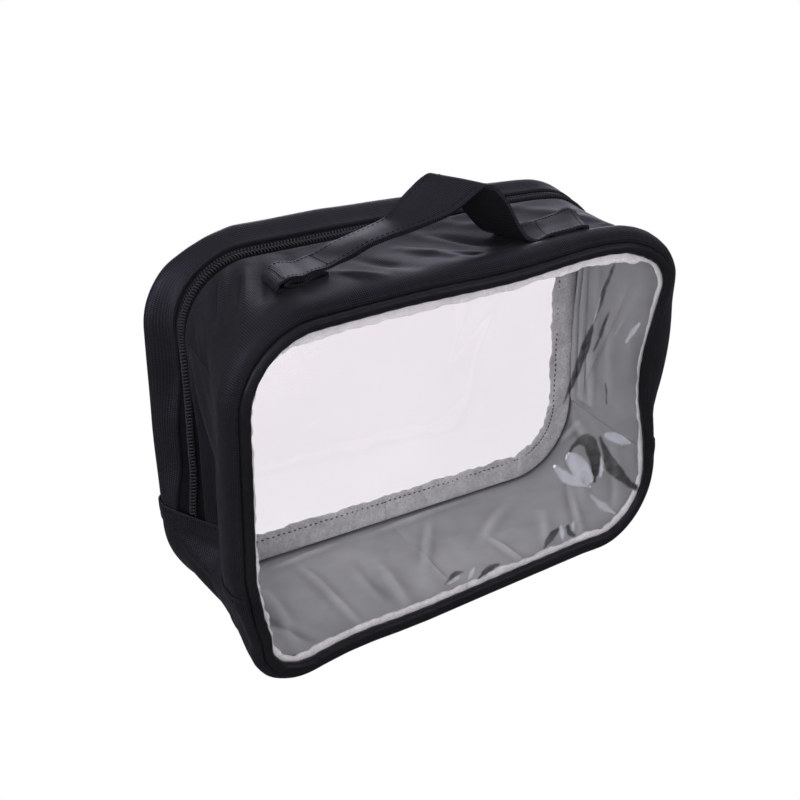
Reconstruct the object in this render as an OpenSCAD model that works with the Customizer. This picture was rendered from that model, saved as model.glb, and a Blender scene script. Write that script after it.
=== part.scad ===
// Soft zip case with two clear windows, a carrying strap on top and a
// rear panel that opens along a coil zip.
// Millimetres. X across the width, -Y the front window, +Z up.
// The origin is the centre of the underside, on the surface it stands on.

/* [Body] */
// Outer width over the side gussets
width = 260; // [180:1:360]
// Outer height over the top and bottom gussets
height = 183; // [120:1:260]
// Depth between the two window faces
depth = 94; // [60:1:160]
// Outer corner radius
corner = 41.5; // [30:0.5:60]
// Flat faces per rounded corner
corner_steps = 9; // [6:1:12]

/* [Fabric] */
// Outer gusset cloth with its backing
cloth = 1.2; // [0.6:0.1:2]
// Lining cloth
lining = 0.4; // [0.2:0.05:0.8]
// Clear window sheet
window = 0.5; // [0.2:0.05:1]
// Roll of gusset cloth that stands outside the piping
roll = 5.4; // [4:0.1:8]
// Folded hem over the zip ends
hem = 1.2; // [0.8:0.1:2]
// Height of the bottom gusset wings
wing = 55; // [40:1:80]

/* [Piping and binding] */
// Width of the piping over its cord
piping = 5.6; // [4:0.1:8]
// How far the piping stands out of the window
piping_out = 3.6; // [2:0.1:5]
// Bound seam allowance at the front
front_binding = 8.5; // [6:0.5:14]
// Bound seam allowance at the rear
rear_binding = 10.5; // [8:0.5:14]

/* [Zip] */
// Centre line of the zip
zip_y = 22; // [10:0.5:32]
// Open slot between the two coils
zip_slot = 1.4; // [1.2:0.1:2]
// Width of one coil
coil_w = 2.9; // [2:0.1:4]
// Height of one coil
coil_h = 1.5; // [1:0.1:2.5]
// Pitch of the coil teeth
tooth = 3; // [2:0.5:5]
// Zip tape showing at the front of the coils
tape_front = 4.1; // [2:0.1:8]
// Zip tape showing behind the coils
tape_rear = 5.4; // [2:0.1:8]

/* [Handle] */
// Strap width
strap_w = 22; // [15:1:35]
// Strap thickness
strap_t = 1.5; // [1:0.1:3]
// Centre line of the strap
strap_y = -19; // [-25:0.5:-10]
// Length of each folded tab
tab_l = 32; // [20:1:45]
// Inner end of the left tab
tab_left = -62; // [-80:1:-50]
// Inner end of the right tab
tab_right = 53; // [45:1:80]
// Left foot of the loop
foot_left = -47; // [-60:1:-40]
// Right foot of the loop
foot_right = 30; // [25:1:60]
// Where the loop is highest
crest_x = 7; // [-10:1:20]
// Rise of the loop above its feet
crest_h = 22.5; // [15:0.5:35]

/* [Slider] */
// Lowest point of the slider
slider_z = 57; // [56:0.5:80]
// Slider length
slider_l = 10.5; // [8:0.5:14]
// Slider width
slider_w = 9.2; // [8:0.1:10]
// Length of the pull tab below its pin
pull_l = 27; // [18:1:40]
// Pin radius
pin_r = 0.8; // [0.6:0.05:1]
// Bore radius in the slider's lug
bore_r = 0.85; // [0.65:0.05:1.1]

/* [Hidden] */
$fn = 48;
yf = -depth / 2;              // outer face of the front window
yr = depth / 2;               // outer face of the rear window
gf = yf + window;             // front edge of the gusset
gr = yr - window;             // rear edge of the gusset
hw = width / 2;
cut = wing + 0.4;             // where the opening rear panel begins
tail = wing - 7.5;            // lower ends of the pieces under the hem
layer = strap_t + 0.1;
strap_z = height + 2 * layer + strap_t / 2;   // strap centre line at the feet
coil_f0 = zip_y - zip_slot / 2 - coil_w;      // front coil, outer edge
coil_f1 = zip_y - zip_slot / 2;               // front coil, slot edge
coil_r0 = zip_y + zip_slot / 2;               // rear coil, slot edge
coil_r1 = zip_y + zip_slot / 2 + coil_w;      // rear coil, outer edge
main_y = coil_f0 - tape_front + 0.5;          // folded edge of the main gusset
strip_y = coil_r1 + tape_rear;                // folded edge of the rear strip
pin_z = slider_z + 5;
plate_x = hw + coil_h - cloth + 0.4;          // slider's outer plate, inner face
pin_x = plate_x + 1.8 + 1.5;

// ---- outlines ----------------------------------------------------------
function quarter(cx, cz, r, a) =
  [for (i = [0:corner_steps]) [cx + r * cos(a + 90 * i / corner_steps),
                               cz + r * sin(a + 90 * i / corner_steps)]];
// the case's outline in X and Z, moved inward by t
function outline(t) =
  let (r = corner - t, x = hw - corner, z0 = corner, z1 = height - corner)
  concat(quarter(x, z1, r, 0), quarter(-x, z1, r, 90),
         quarter(-x, z0, r, 180), quarter(x, z0, r, 270));

module slab(y0, y1) translate([0, y1, 0]) rotate([90, 0, 0]) linear_extrude(height = y1 - y0) children();
module above(z) translate([-hw - 10, z]) square([width + 20, height - z + 20]);
module below(z) translate([-hw - 10, -10]) square([width + 20, z + 10]);

// a wall between two inward moves of the outline
module ring(t0, t1) difference() { polygon(outline(t0)); polygon(outline(t1)); }
module band(t0, t1, y0, y1) slab(y0, y1) ring(t0, t1);
module band_up(t0, t1, y0, y1, z) slab(y0, y1) intersection() { ring(t0, t1); above(z); }
module band_low(t0, t1, y0, y1, z) slab(y0, y1) intersection() { ring(t0, t1); below(z); }

// ---- piping ------------------------------------------------------------
// steps of the rounded section: inward move at both sides, y from the window
p0 = roll - 0.8;
p1 = p0 + piping;
module piping_cover_2d(k) {
  if (k == 0) ring(p0, p1);
  if (k == 1) { ring(p0, p0 + 0.7); ring(p1 - 0.7, p1); }
  if (k == 2) { ring(p0 + 0.35, p0 + 1.2); ring(p1 - 1.2, p1 - 0.35); }
  if (k == 3) ring(p0 + 0.9, p1 - 0.9);
}
// ---- coils -------------------------------------------------------------
// teeth of a straight run, along u, toward v1
function comb(u0, u1, v0, v1, n) = let (p = (u1 - u0) / n, v = v0 + (v1 - v0) * 0.45)
  concat([for (i = [0:n - 1], k = [0:3])
    [u0 + p * (i + [0, 0.55, 0.55, 1][k]), [v1, v1, v, v][k]]], [[u1, v0], [u0, v0]]);
module coil(e, s) {
  // e: edge away from the slot, s: edge at the slot
  n_top = floor((width - 2 * corner) / tooth);
  n_leg = floor((height - corner - cut) / tooth);
  t0 = cloth - coil_h;
  m = e + (s - e) * 0.45;
  // top run
  translate([0, 0, height - cloth]) linear_extrude(height = coil_h)
    polygon(comb(corner - hw, hw - corner, e, s, n_top));
  // legs
  for (x = [-hw + t0, hw - cloth]) translate([x, 0, 0]) rotate([90, 0, 90]) linear_extrude(height = coil_h)
    polygon([for (q = comb(cut, height - corner, e, s, n_leg)) [q[1], q[0]]]);
  // corners
  slab(min(e, s), max(e, s)) intersection() {
    ring(t0, cloth);
    union() {
      translate([hw - corner, height - corner]) square([corner + 5, corner + 5]);
      translate([-hw - 5, height - corner]) square([corner + 5, corner + 5]);
    }
  }
}

// ---- front -------------------------------------------------------------
module front_window() color([0.86, 0.88, 0.9, 0.3]) slab(yf, gf) polygon(outline(roll));
module front_piping_cover() color([0.06, 0.06, 0.065]) {
  slab(yf - 0.5, yf) piping_cover_2d(0);
  slab(yf - 2, yf - 0.5) piping_cover_2d(1);
  slab(yf - 3, yf - 2) piping_cover_2d(2);
  slab(yf - piping_out, yf - 3) piping_cover_2d(3);
}
module front_piping_cord() color([0.75, 0.75, 0.73]) {
  slab(yf - 2, yf - 0.5) ring(p0 + 0.7, p1 - 0.7);
  slab(yf - 3, yf - 2) ring(p0 + 1.2, p1 - 1.2);
}
module front_seam_binding() color([0.6, 0.6, 0.62]) {
  band(roll, roll + front_binding, gf, gf + 0.5);
  band(roll + front_binding - 0.6, roll + front_binding, gf + 0.5, gf + 2.1);
  band(roll, roll + front_binding, gf + 2.1, gf + 2.7);
}
module front_binding_thread() color([0.3, 0.3, 0.32])
  band(roll + front_binding - 2.2, roll + front_binding - 1.8, gf + 2.7, gf + 2.95);
module main_gusset() color([0.17, 0.17, 0.19]) {
  band_up(0, cloth, gf, main_y, tail);
  band_up(cloth, roll, gf, gf + cloth, tail);
  band_up(roll, roll + front_binding - 0.7, gf + 0.5, gf + 1.7, tail);
}
module main_gusset_lining() color([0.58, 0.58, 0.6]) {
  band_up(cloth, cloth + lining, gf + 1.7, main_y - 6, tail);
  band_up(cloth, cloth + lining + 0.5, main_y - 6.5, main_y - 6, tail);
  band_up(cloth + 0.5, cloth + lining + 0.5, main_y - 6, main_y - 1, tail);
  band_up(cloth + lining, roll + front_binding - 0.7, gf + 1.7, gf + 2.1, tail);
}
module front_zip_tape() color([0.05, 0.05, 0.055])
  band_up(cloth, cloth + 0.5, main_y - 6, coil_f1 - 1.7, tail);
module front_zip_coil() color([0.09, 0.09, 0.1]) coil(coil_f0, coil_f1);
module front_zip_thread() color([0.1, 0.1, 0.11])
  band_up(-0.25, 0, main_y - 2.2, main_y - 1.8, cut);

// ---- bottom ------------------------------------------------------------
module bottom_gusset() color([0.16, 0.16, 0.175]) {
  band_low(0, cloth, gf, main_y + 1, tail);
  band_low(0, cloth, main_y + 1, gr, wing);
  band_low(cloth, roll, gf, gf + cloth, tail);
  band_low(roll, roll + front_binding - 0.7, gf + 0.5, gf + 1.7, tail);
  band_low(cloth, roll, gr - cloth, gr, wing);
  band_low(roll, roll + rear_binding - 0.7, gr - 1.7, gr - 0.5, wing);
  // folded hems over the zip ends
  slab(gf, gr) intersection() {
    ring(-hem, 0);
    translate([-hw - 10, wing - 9]) square([width + 20, 9]);
  }
}
module bottom_gusset_lining() color([0.58, 0.58, 0.6]) {
  band_low(cloth, cloth + lining, gf + 1.7, gr - 1.7, tail);
  band_low(cloth + lining, roll + front_binding - 0.7, gf + 1.7, gf + 2.1, tail);
  band_low(cloth + lining, roll + rear_binding - 0.7, gr - 2.1, gr - 1.7, tail);
}
module hem_thread() color([0.1, 0.1, 0.11])
  slab(gf + 1, gr - 1) intersection() {
    ring(-hem - 0.25, -hem);
    translate([-hw - 10, wing - 2.4]) square([width + 20, 0.4]);
  }

// ---- rear, below and above the fold line -------------------------------
module rear_part(low) if (low) below(wing); else above(cut);
module rear_window(low) color([0.86, 0.88, 0.9, 0.3])
  slab(gr, yr) intersection() { polygon(outline(roll)); rear_part(low); }
module rear_piping_cover(low) color([0.06, 0.06, 0.065]) {
  slab(yr, yr + 0.5) intersection() { piping_cover_2d(0); rear_part(low); }
  slab(yr + 0.5, yr + 2) intersection() { piping_cover_2d(1); rear_part(low); }
  slab(yr + 2, yr + 3) intersection() { piping_cover_2d(2); rear_part(low); }
  slab(yr + 3, yr + piping_out) intersection() { piping_cover_2d(3); rear_part(low); }
}
module rear_piping_cord(low) color([0.75, 0.75, 0.73]) {
  slab(yr + 0.5, yr + 2) intersection() { ring(p0 + 0.7, p1 - 0.7); rear_part(low); }
  slab(yr + 2, yr + 3) intersection() { ring(p0 + 1.2, p1 - 1.2); rear_part(low); }
}
module rear_binding_band(low) color([0.6, 0.6, 0.62]) {
  slab(gr - 0.5, gr) intersection() { ring(roll, roll + rear_binding); rear_part(low); }
  slab(gr - 2.1, gr - 0.5) intersection() { ring(roll + rear_binding - 0.6, roll + rear_binding); rear_part(low); }
  slab(gr - 2.7, gr - 2.1) intersection() { ring(roll, roll + rear_binding); rear_part(low); }
}
module rear_binding_thread(low) color([0.3, 0.3, 0.32])
  slab(gr - 2.95, gr - 2.7) intersection() { ring(roll + rear_binding - 2.4, roll + rear_binding - 2); rear_part(low); }
module rear_gusset_strip() color([0.17, 0.17, 0.19]) {
  band_up(0, cloth, strip_y, gr, cut);
  band_up(cloth, roll, gr - cloth, gr, cut);
  band_up(roll, roll + rear_binding - 0.7, gr - 1.7, gr - 0.5, cut);
}
module rear_gusset_lining() color([0.58, 0.58, 0.6]) {
  band_up(cloth + lining, roll + rear_binding - 0.7, gr - 2.1, gr - 1.7, cut);
  band_up(cloth, cloth + lining, strip_y + 6, gr - 1.7, cut);
  band_up(cloth, cloth + lining + 0.5, strip_y + 6, strip_y + 6.5, cut);
  band_up(cloth + 0.5, cloth + lining + 0.5, strip_y + 1, strip_y + 6, cut);
}
module rear_zip_tape() color([0.05, 0.05, 0.055])
  band_up(cloth, cloth + 0.5, coil_r0 + 1.7, strip_y + 6, cut);
module rear_zip_coil() color([0.09, 0.09, 0.1]) coil(coil_r1, coil_r0);
module rear_zip_thread() color([0.1, 0.1, 0.11])
  band_up(-0.25, 0, strip_y + 1.8, strip_y + 2.2, cut);

// ---- handle ------------------------------------------------------------
// height of the strap's centre line above its feet
function rise(x) = let (s = x < crest_x ? (x - foot_left) / (crest_x - foot_left)
                                       : (foot_right - x) / (foot_right - crest_x))
  crest_h * (1 - cos(180 * s)) / 2;
function slope(x) = let (a = max(x - 0.2, foot_left), b = min(x + 0.2, foot_right))
  (rise(b) - rise(a)) / (b - a);
function strap_side(k, n) = [for (i = [0:n]) let (x = foot_left + (foot_right - foot_left) * i / n,
  g = slope(x), q = sqrt(1 + g * g)) [x - k * g / q, strap_z + rise(x) + k / q]];
module strap_slab() translate([0, strap_y + strap_w / 2, 0]) rotate([90, 0, 0])
  linear_extrude(height = strap_w) children();
module handle_loop() color([0.15, 0.15, 0.165]) intersection() {
  strap_slab() polygon(concat(strap_side(strap_t / 2, 28),
    [for (i = [28:-1:0]) strap_side(-strap_t / 2, 28)[i]]));
  // the strap narrows where it is pinched between its feet
  translate([foot_left - 5, strap_y, strap_z]) rotate([90, 0, 90]) linear_extrude(height = foot_right - foot_left + 10)
    polygon([[-4, -4], [4, -4], [4, 0], [strap_w / 2, strap_w / 2 - 4], [strap_w / 2, crest_h + 5],
             [-strap_w / 2, crest_h + 5], [-strap_w / 2, strap_w / 2 - 4], [-4, 0]]);
}
// three folded layers, the top one running on to the loop
module tab(x0, x1, run) {
  s = x1 > x0 ? 1 : -1;   // toward the inner end
  a = min(x0, x1); b = max(x0, x1);
  z1 = height; z2 = height + layer; z3 = height + 2 * layer;
  strap_slab() union() {
    translate([a, z1]) square([b - a, strap_t]);
    translate([a, z2]) square([b - a, strap_t]);
    translate([min(a, run), z3]) square([max(b, run) - min(a, run), strap_t]);
    translate([s > 0 ? b - 1 : a, z1 + strap_t]) square([1, 0.1]);
    translate([s > 0 ? a : b - 1, z2 + strap_t]) square([1, 0.1]);
  }
}
module handle_tab_left() color([0.16, 0.16, 0.175]) tab(tab_left - tab_l, tab_left, foot_left - 0.4);
module handle_tab_right() color([0.16, 0.16, 0.175]) tab(tab_right + tab_l, tab_right, foot_right + 0.4);
module thread_box(xc, l, w) translate([xc, strap_y, height + 2 * layer + strap_t]) difference() {
  translate([-l / 2, -w / 2, 0]) cube([l, w, 0.25]);
  translate([-l / 2 + 0.4, -w / 2 + 0.4, -1]) cube([l - 0.8, w - 0.8, 2]);
}
module handle_thread() color([0.1, 0.1, 0.11]) {
  thread_box(tab_left - tab_l / 2, tab_l - 4, strap_w - 4);
  thread_box(tab_right + tab_l / 2, tab_l - 4, strap_w - 4);
}

// ---- slider and pull tab -----------------------------------------------
module slider() color([0.08, 0.08, 0.085]) difference() {
  union() {
    // outer plate
    translate([plate_x, zip_y, slider_z]) rotate([90, 0, 90]) linear_extrude(height = 1.8)
      polygon([[-slider_w / 2 + 1.4, 0], [slider_w / 2 - 1.4, 0], [slider_w / 2, 2.5], [slider_w / 2, slider_l - 1.6],
               [slider_w / 2 - 2, slider_l], [-slider_w / 2 + 2, slider_l], [-slider_w / 2, slider_l - 1.6], [-slider_w / 2, 2.5]]);
    // inner plate
    translate([hw - cloth - 0.5 - 1.7, zip_y, slider_z]) rotate([90, 0, 90]) linear_extrude(height = 1.3)
      polygon([[-slider_w / 2 + 1.4, 0], [slider_w / 2 - 1.4, 0], [slider_w / 2, 2.5], [slider_w / 2, slider_l - 1.6],
               [slider_w / 2 - 2, slider_l], [-slider_w / 2 + 2, slider_l], [-slider_w / 2, slider_l - 1.6], [-slider_w / 2, 2.5]]);
    // divider between the coils
    translate([hw - cloth - 0.5 - 0.8, zip_y - 0.3, slider_z + slider_l - 4])
      cube([plate_x + 0.4 - (hw - cloth - 1.3), 0.6, 3.4]);
    // lug for the pull tab
    translate([plate_x + 1.4, zip_y - 1.3, pin_z - 1.6]) cube([pin_x + 1.2 - plate_x - 1.4, 2.6, 3.2]);
  }
  translate([pin_x, zip_y + 5, pin_z]) rotate([90, 0, 0]) cylinder(r = bore_r, h = 10);
}
module puller() color([0.08, 0.08, 0.085]) union() {
  // pin
  translate([pin_x, zip_y + 2, pin_z]) rotate([90, 0, 0]) cylinder(r = pin_r, h = 4);
  // ears
  for (y = [-3.2, 1.7]) translate([pin_x - 1.1, zip_y + y, pin_z - 4]) cube([2.2, 1.5, 5.1]);
  // tab
  translate([pin_x - 0.8, zip_y, pin_z]) rotate([90, 0, 90]) linear_extrude(height = 1.6)
    polygon([[-3.2, -2.7], [3.2, -2.7], [3.2, -7], [3.8, -9], [3.8, -pull_l + 2.5], [2.2, -pull_l],
             [-2.2, -pull_l], [-3.8, -pull_l + 2.5], [-3.8, -9], [-3.2, -7]]);
}

front_window();
front_piping_cover();
front_piping_cord();
front_seam_binding();
front_binding_thread();
main_gusset();
main_gusset_lining();
front_zip_tape();
front_zip_coil();
front_zip_thread();
bottom_gusset();
bottom_gusset_lining();
hem_thread();
rear_window(true);  // rear_window_lower
rear_piping_cover(true);  // rear_piping_cover_lower
rear_piping_cord(true);  // rear_piping_cord_lower
rear_binding_band(true);  // rear_seam_binding_lower
rear_binding_thread(true);  // rear_binding_thread_lower
handle_tab_left();
handle_tab_right();
handle_thread();
rear_window(false);  // rear_window_flap
rear_piping_cover(false);  // rear_piping_cover_flap
rear_piping_cord(false);  // rear_piping_cord_flap
rear_binding_band(false);  // rear_seam_binding_flap
rear_binding_thread(false);  // rear_binding_thread_flap
rear_gusset_strip();
rear_gusset_lining();
rear_zip_tape();
rear_zip_coil();
rear_zip_thread();
slider();
puller();
handle_loop();
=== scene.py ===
import math

import bpy
import numpy as np
from mathutils import Matrix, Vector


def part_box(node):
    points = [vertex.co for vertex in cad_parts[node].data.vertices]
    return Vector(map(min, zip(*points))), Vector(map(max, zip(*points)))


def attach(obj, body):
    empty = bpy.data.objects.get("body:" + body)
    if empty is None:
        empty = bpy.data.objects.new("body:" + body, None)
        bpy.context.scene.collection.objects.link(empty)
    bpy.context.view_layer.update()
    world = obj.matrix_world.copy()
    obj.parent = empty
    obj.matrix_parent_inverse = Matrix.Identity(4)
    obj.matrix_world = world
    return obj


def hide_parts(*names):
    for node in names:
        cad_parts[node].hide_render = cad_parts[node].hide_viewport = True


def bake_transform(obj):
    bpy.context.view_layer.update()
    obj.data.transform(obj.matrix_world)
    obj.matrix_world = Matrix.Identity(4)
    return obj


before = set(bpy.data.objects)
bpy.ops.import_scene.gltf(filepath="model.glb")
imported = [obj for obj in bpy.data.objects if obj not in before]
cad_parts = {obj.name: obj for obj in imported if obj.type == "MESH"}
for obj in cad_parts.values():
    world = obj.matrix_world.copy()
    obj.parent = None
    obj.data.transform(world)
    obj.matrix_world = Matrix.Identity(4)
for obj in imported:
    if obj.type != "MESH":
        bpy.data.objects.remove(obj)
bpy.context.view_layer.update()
scene = bpy.context.scene
MM = 0.001

# ---------------------------------------------------------------- outline of the bag
g_lo, g_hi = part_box("main_gusset")
HW, HT, CR = g_hi.x * 1000, g_hi.z * 1000, 41.5
YF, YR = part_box("front_window")[0].y * 1000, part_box("rear_window_flap")[1].y * 1000
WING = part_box("bottom_gusset")[1].z * 1000
ROLL = 5.4
LA, LQ, LL, LT = HW - CR, CR * math.pi / 2, HT - 2 * CR, 2 * (HW - CR)
BR = np.cumsum([0, LA, LQ, LL, LQ, LT, LQ, LL, LQ, LA])  # along the outline from the middle of the bottom, right side first
PER = BR[-1]


def base(s):
    """x, z and outward normal at length s along the outline."""
    s = np.mod(np.asarray(s, float), PER)
    x, z, nx, nz = (np.zeros_like(s) for _ in range(4))
    k = np.clip(np.searchsorted(BR, s, side="right") - 1, 0, 8)
    u = s - BR[k]
    for i, (x0, z0, dx, dz, ax, az) in {
        0: (0, 0, 1, 0, 0, -1),
        2: (HW, CR, 0, 1, 1, 0),
        4: (LA, HT, -1, 0, 0, 1),
        6: (-HW, HT - CR, 0, -1, -1, 0),
        8: (-LA, 0, 1, 0, 0, -1),
    }.items():
        m = k == i
        x[m], z[m], nx[m], nz[m] = x0 + dx * u[m], z0 + dz * u[m], ax, az
    for i, (cx, cz, a0) in {
        1: (LA, CR, -90),
        3: (LA, HT - CR, 0),
        5: (-LA, HT - CR, 90),
        7: (-LA, CR, 180),
    }.items():
        m = k == i
        a = math.radians(a0) + u[m] / CR
        nx[m], nz[m] = np.cos(a), np.sin(a)
        x[m], z[m] = cx + CR * nx[m], cz + CR * nz[m]
    return x, z, nx, nz


def s_top(x):
    return BR[4] + LA - x


def s_left(z):
    return BR[6] + (HT - CR - z)


def s_right(z):
    return BR[2] + z - CR


def sm(a, b, x):
    t = np.clip((np.asarray(x, float) - a) / (b - a), 0, 1)
    return t * t * (3 - 2 * t)


def waves(seed, n=7, lo=0.6, hi=1.7):
    r = np.random.RandomState(seed)
    ang, k, ph = r.uniform(0, math.pi, n), r.uniform(lo, hi, n), r.uniform(0, 6.283, n)
    am = r.uniform(0.5, 1, n)

    def f(u, v):
        out = 0.0
        for a, kk, p, m in zip(ang, k, ph, am):
            out = out + m * np.sin(kk * (u * math.cos(a) + v * math.sin(a)) + p)
        return out / am.sum() * 1.6

    return f


# ---------------------------------------------------------------- how the soft bag sags and leans
SHEAR, YAW, PITCH, LIFT = 5.2, -4.7, 3.4, 1.5
N1, N2, N3, N4 = waves(3), waves(11), waves(23), waves(37)

_zs = np.linspace(0, PER, 2400)
_zd = np.interp(
    _zs,
    [0, LA, 120, BR[2], BR[3], 285, BR[4], 400, BR[5], 528, BR[6], 600, BR[7], 676, 693, 710, BR[8], 745, 775, PER],
    [0, 0, 1.2, 2.0, 2.0, 2.6, 3.3, 3.7, 3.7, 7.0, 10.6, 11.4, 9.0, 5.6, 2.8, 1.4, 0.8, 0.3, 0, 0],
)
_k = np.exp(-(np.linspace(-2.5, 2.5, 41) ** 2))
_zd = np.convolve(np.pad(_zd, 20, mode="wrap"), _k / _k.sum(), mode="valid")


def table(knots):
    """smoothed offsets along the outline, from pairs of length and value."""
    a = np.array(knots, float)
    v = np.interp(_zs, a[:, 0], a[:, 1])
    v = np.convolve(np.pad(v, 20, mode="wrap"), _k / _k.sum(), mode="valid")
    return lambda q: np.interp(np.mod(q, PER), _zs, v)


# the two seam rings are not quite the same shape as the cut outline: inward offsets, rear then front
REAR_RING = table([(0, 0), (BR[2], 0), (238, 0.8), (BR[3], 2.6), (270, 5.0), (286, 5.6), (303, 4.2), (BR[4] + 6, 2.6), (347, 1.9), (387, 1.3), (407, 0.3), (442, -1.3), (488, -1.0), (498, 1.4), (508, 3.0), (518, 3.2), (528, 2.2), (548, 1.6), (BR[6], 1.6), (583, 1.2), (610, 0.6), (642, 0.6), (661, 1.0), (685, 1.4), (702, 0), (PER, 0)])
FRONT_RING = table([(0, 0), (80, -0.4), (100, -1.8), (120, -2.2), (136, -2.2), (150, -1.6), (166, -0.6), (180, 0), (248, -0.4), (262, -1.6), (276, 0.6), (290, 3.3), (302, 4.2), (312, 3.7), (320, 2.5), (332, 1.0), (346, 0.2), (360, 0), (BR[6], 0), (640, 0), (652, 2.2), (667, 4.4), (680, 4.0), (690, -0.6), (700, -2.4), (714, -1.6), (727, 0.4), (742, 1.6), (757, 1.5), (772, 0.6), (790, 0), (PER, 0)])


def zip_sink(s):
    return np.interp(np.mod(s, PER), _zs, _zd)


# soft folds: x or z of the two ends on a face, their y, half width, height outwards
TOP_FOLDS = [
    (-20, -8, -2, -34, 4.0, 1.9),
    (-44, -10, -30, -36, 4.5, -1.6),
    (2, 0, 26, -26, 3.6, -1.9),
    (20, 6, 52, -16, 4.5, 1.5),
    (-8, -20, 16, -36, 3.0, 1.4),
    (-62, -20, -48, -38, 3.4, 1.5),
    (-78, 8, -100, -34, 5.0, 1.2),
    (-70, 10, -86, -38, 3.5, -1.1),
    (60, 8, 100, -30, 5.0, 1.0),
    (-8, 10, 10, -14, 5.0, 0.8),
]
RIDGES = [(506, 15, 527, -10, 2.5, 2.2), (512, 16, 534, -10, 3.0, -1.6), (498, 10, 523, -33, 2.8, 2.0), (490, 9, 512, -32, 3.4, -1.7), (504, 6, 524, -24, 2.6, -1.2)]
SIDE_FOLDS = [  # z, y, z, y on the left leg
    (152, 10, 118, -34, 4.5, 2.2),
    (140, 12, 112, -30, 3.0, -1.8),
    (164, 6, 138, -38, 5.0, -1.2),
    (170, 10, 150, -10, 3.2, 1.6),
    (30, 24, 12, 2, 4.0, -1.8),
    (44, 30, 22, 10, 4.0, 1.4),
]


def segment(u, v, a, b, c, d):
    """distance from a segment, and place along it, 0 to 1."""
    du, dv = c - a, d - b
    t = np.clip(((u - a) * du + (v - b) * dv) / (du * du + dv * dv), 0, 1)
    return np.hypot(u - a - t * du, v - b - t * dv), t


# the lower left side caves in behind the front roll: depth against y, at the hem and 30 mm above it
VALLEY_Y = [-37, -33, -28, -22, -15, -8, 0, 8.5, 14.8, 17.1, 22, 25.6, 31, 34, 37, 40, 43]
VALLEY_HEM = [0, 0.8, 3.0, 8.2, 13.5, 17.5, 19.0, 17.3, 13.2, 11.9, 8.9, 6.6, 3.6, 1.8, 0.6, 0.1, 0]
VALLEY_UP = [0, 0.7, 2.8, 8.0, 13.2, 16.6, 17.2, 15.4, 13.1, 12.4, 10.8, 9.7, 7.6, 5.4, 3.0, 0.9, 0]


def valley(s, z, y):
    k = sm(54, 80, z)
    v = np.interp(y, VALLEY_Y, VALLEY_HEM) * (1 - k) + np.interp(y, VALLEY_Y, VALLEY_UP) * k
    return v * (1 - sm(650, 712, np.mod(s, PER)))


def inward(s, y):
    """how far the gusset cloth is pulled inward, in mm."""
    x, z, nx, nz = base(s)
    left, right = np.clip(-nx, 0, 1) ** 1.5, np.clip(nx, 0, 1) ** 1.5
    top, bottom = np.clip(nz, 0, 1) ** 1.5, np.clip(-nz, 0, 1) ** 1.5
    w = left + right + top + bottom + 1e-9
    taut = np.clip((y + 38) / 53, 0, 1) ** 0.9
    loose = sm(-36.5, -27.5, y)
    rise = sm(-25, 15, x)
    over = (1 - rise) * sm(-38, -2, y) + rise * (0.85 * sm(-41, -32, y) + 0.15 * sm(-10, 15, y))
    low_edge = 132 + 0.75 * np.minimum(y + 6, 0) + 1.5 * sm(-6, 14, y)
    far = sm(4, 16, y)
    mid_z, half_z = low_edge * (1 - far) + 110 * far, 5.5 + 10.5 * far
    upper = sm(-1, 1, (z - mid_z) / half_z)
    f = (left * upper * taut + top * over + right * sm(-38, -8, y) + bottom * sm(-37, -26, y)) / w
    d = zip_sink(s) * f * (1 - sm(31, 43, y)) + left / w * (1 - upper) * valley(s, z, y)
    core = sm(-38, -22, y) * (1 - sm(4, 14, y)) * (1 - 0.8 * left * (z < 150))
    d = d + core * (top * (1.2 + 0.9 * N1(x / 26, y / 22)) + left * 0.9 * N2(z / 24, y / 20) + right * 0.7 * N1(z / 25, y / 22 + 4))
    # the drape's free edge over the hollow lower side
    edge = z - low_edge - 3.0
    d = d - left * core * 2.4 * np.exp(-((edge / 4.2) ** 2)) * sm(-40, 8, y) * (z < 175)
    for a, b, c, e, hw, h in TOP_FOLDS:
        r, t = segment(x, y, a, b, c, e)
        d = d - top * sm(-42, -34, y) * (1 - sm(9, 15, y)) * h * np.exp(-((r / hw) ** 2)) * (0.35 + 0.65 * np.sin(math.pi * np.clip(t, 0.03, 0.97)))
    for a, b, c, e, hw, h in SIDE_FOLDS:
        r, t = segment(z, y, a, b, c, e)
        d = d - np.clip(-nx, 0, 1) * sm(-42, -34, y) * (1 - sm(9, 15, y) * (z > 56)) * (1 - sm(33, 40, y)) * h * np.exp(-((r / hw) ** 2)) * np.sin(math.pi * np.clip(t, 0.03, 0.97))
    # a hollow behind the front roll at the upper right corner
    d = d + 6.5 * np.exp(-(((np.mod(s, PER) - 286) / 30) ** 2)) * sm(-41, -32, y) * (1 - sm(14, 34, y))
    # the front roll swells out on the right and is nipped in above the hem
    roll = sm(-46.5, -41, y) * (1 - sm(-30, -16, y)) * np.clip(nx, 0, 1)
    d = d + roll * (-7.2 * np.exp(-(((z - 108) / 34) ** 2)) + 3.4 * np.exp(-(((z - 66) / 14) ** 2)))
    d = d + 3.2 * np.exp(-(((np.mod(s, PER) - 672) / 15) ** 2)) * sm(-47, -38, y) * (1 - sm(-26, -18, y))
    # ridges running down from the zip beside the left tab, and the pleat between them
    for s0, y0, s1, y1, hw, h in RIDGES:
        r, t = segment(np.mod(s, PER), y, s0, y0, s1, y1)
        d = d - h * np.exp(-((r / hw) ** 2)) * np.sin(math.pi * np.clip(t, 0.04, 0.96)) * (y < 14.5)
    return np.maximum(d, -8.0 * (1 - bottom))


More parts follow.
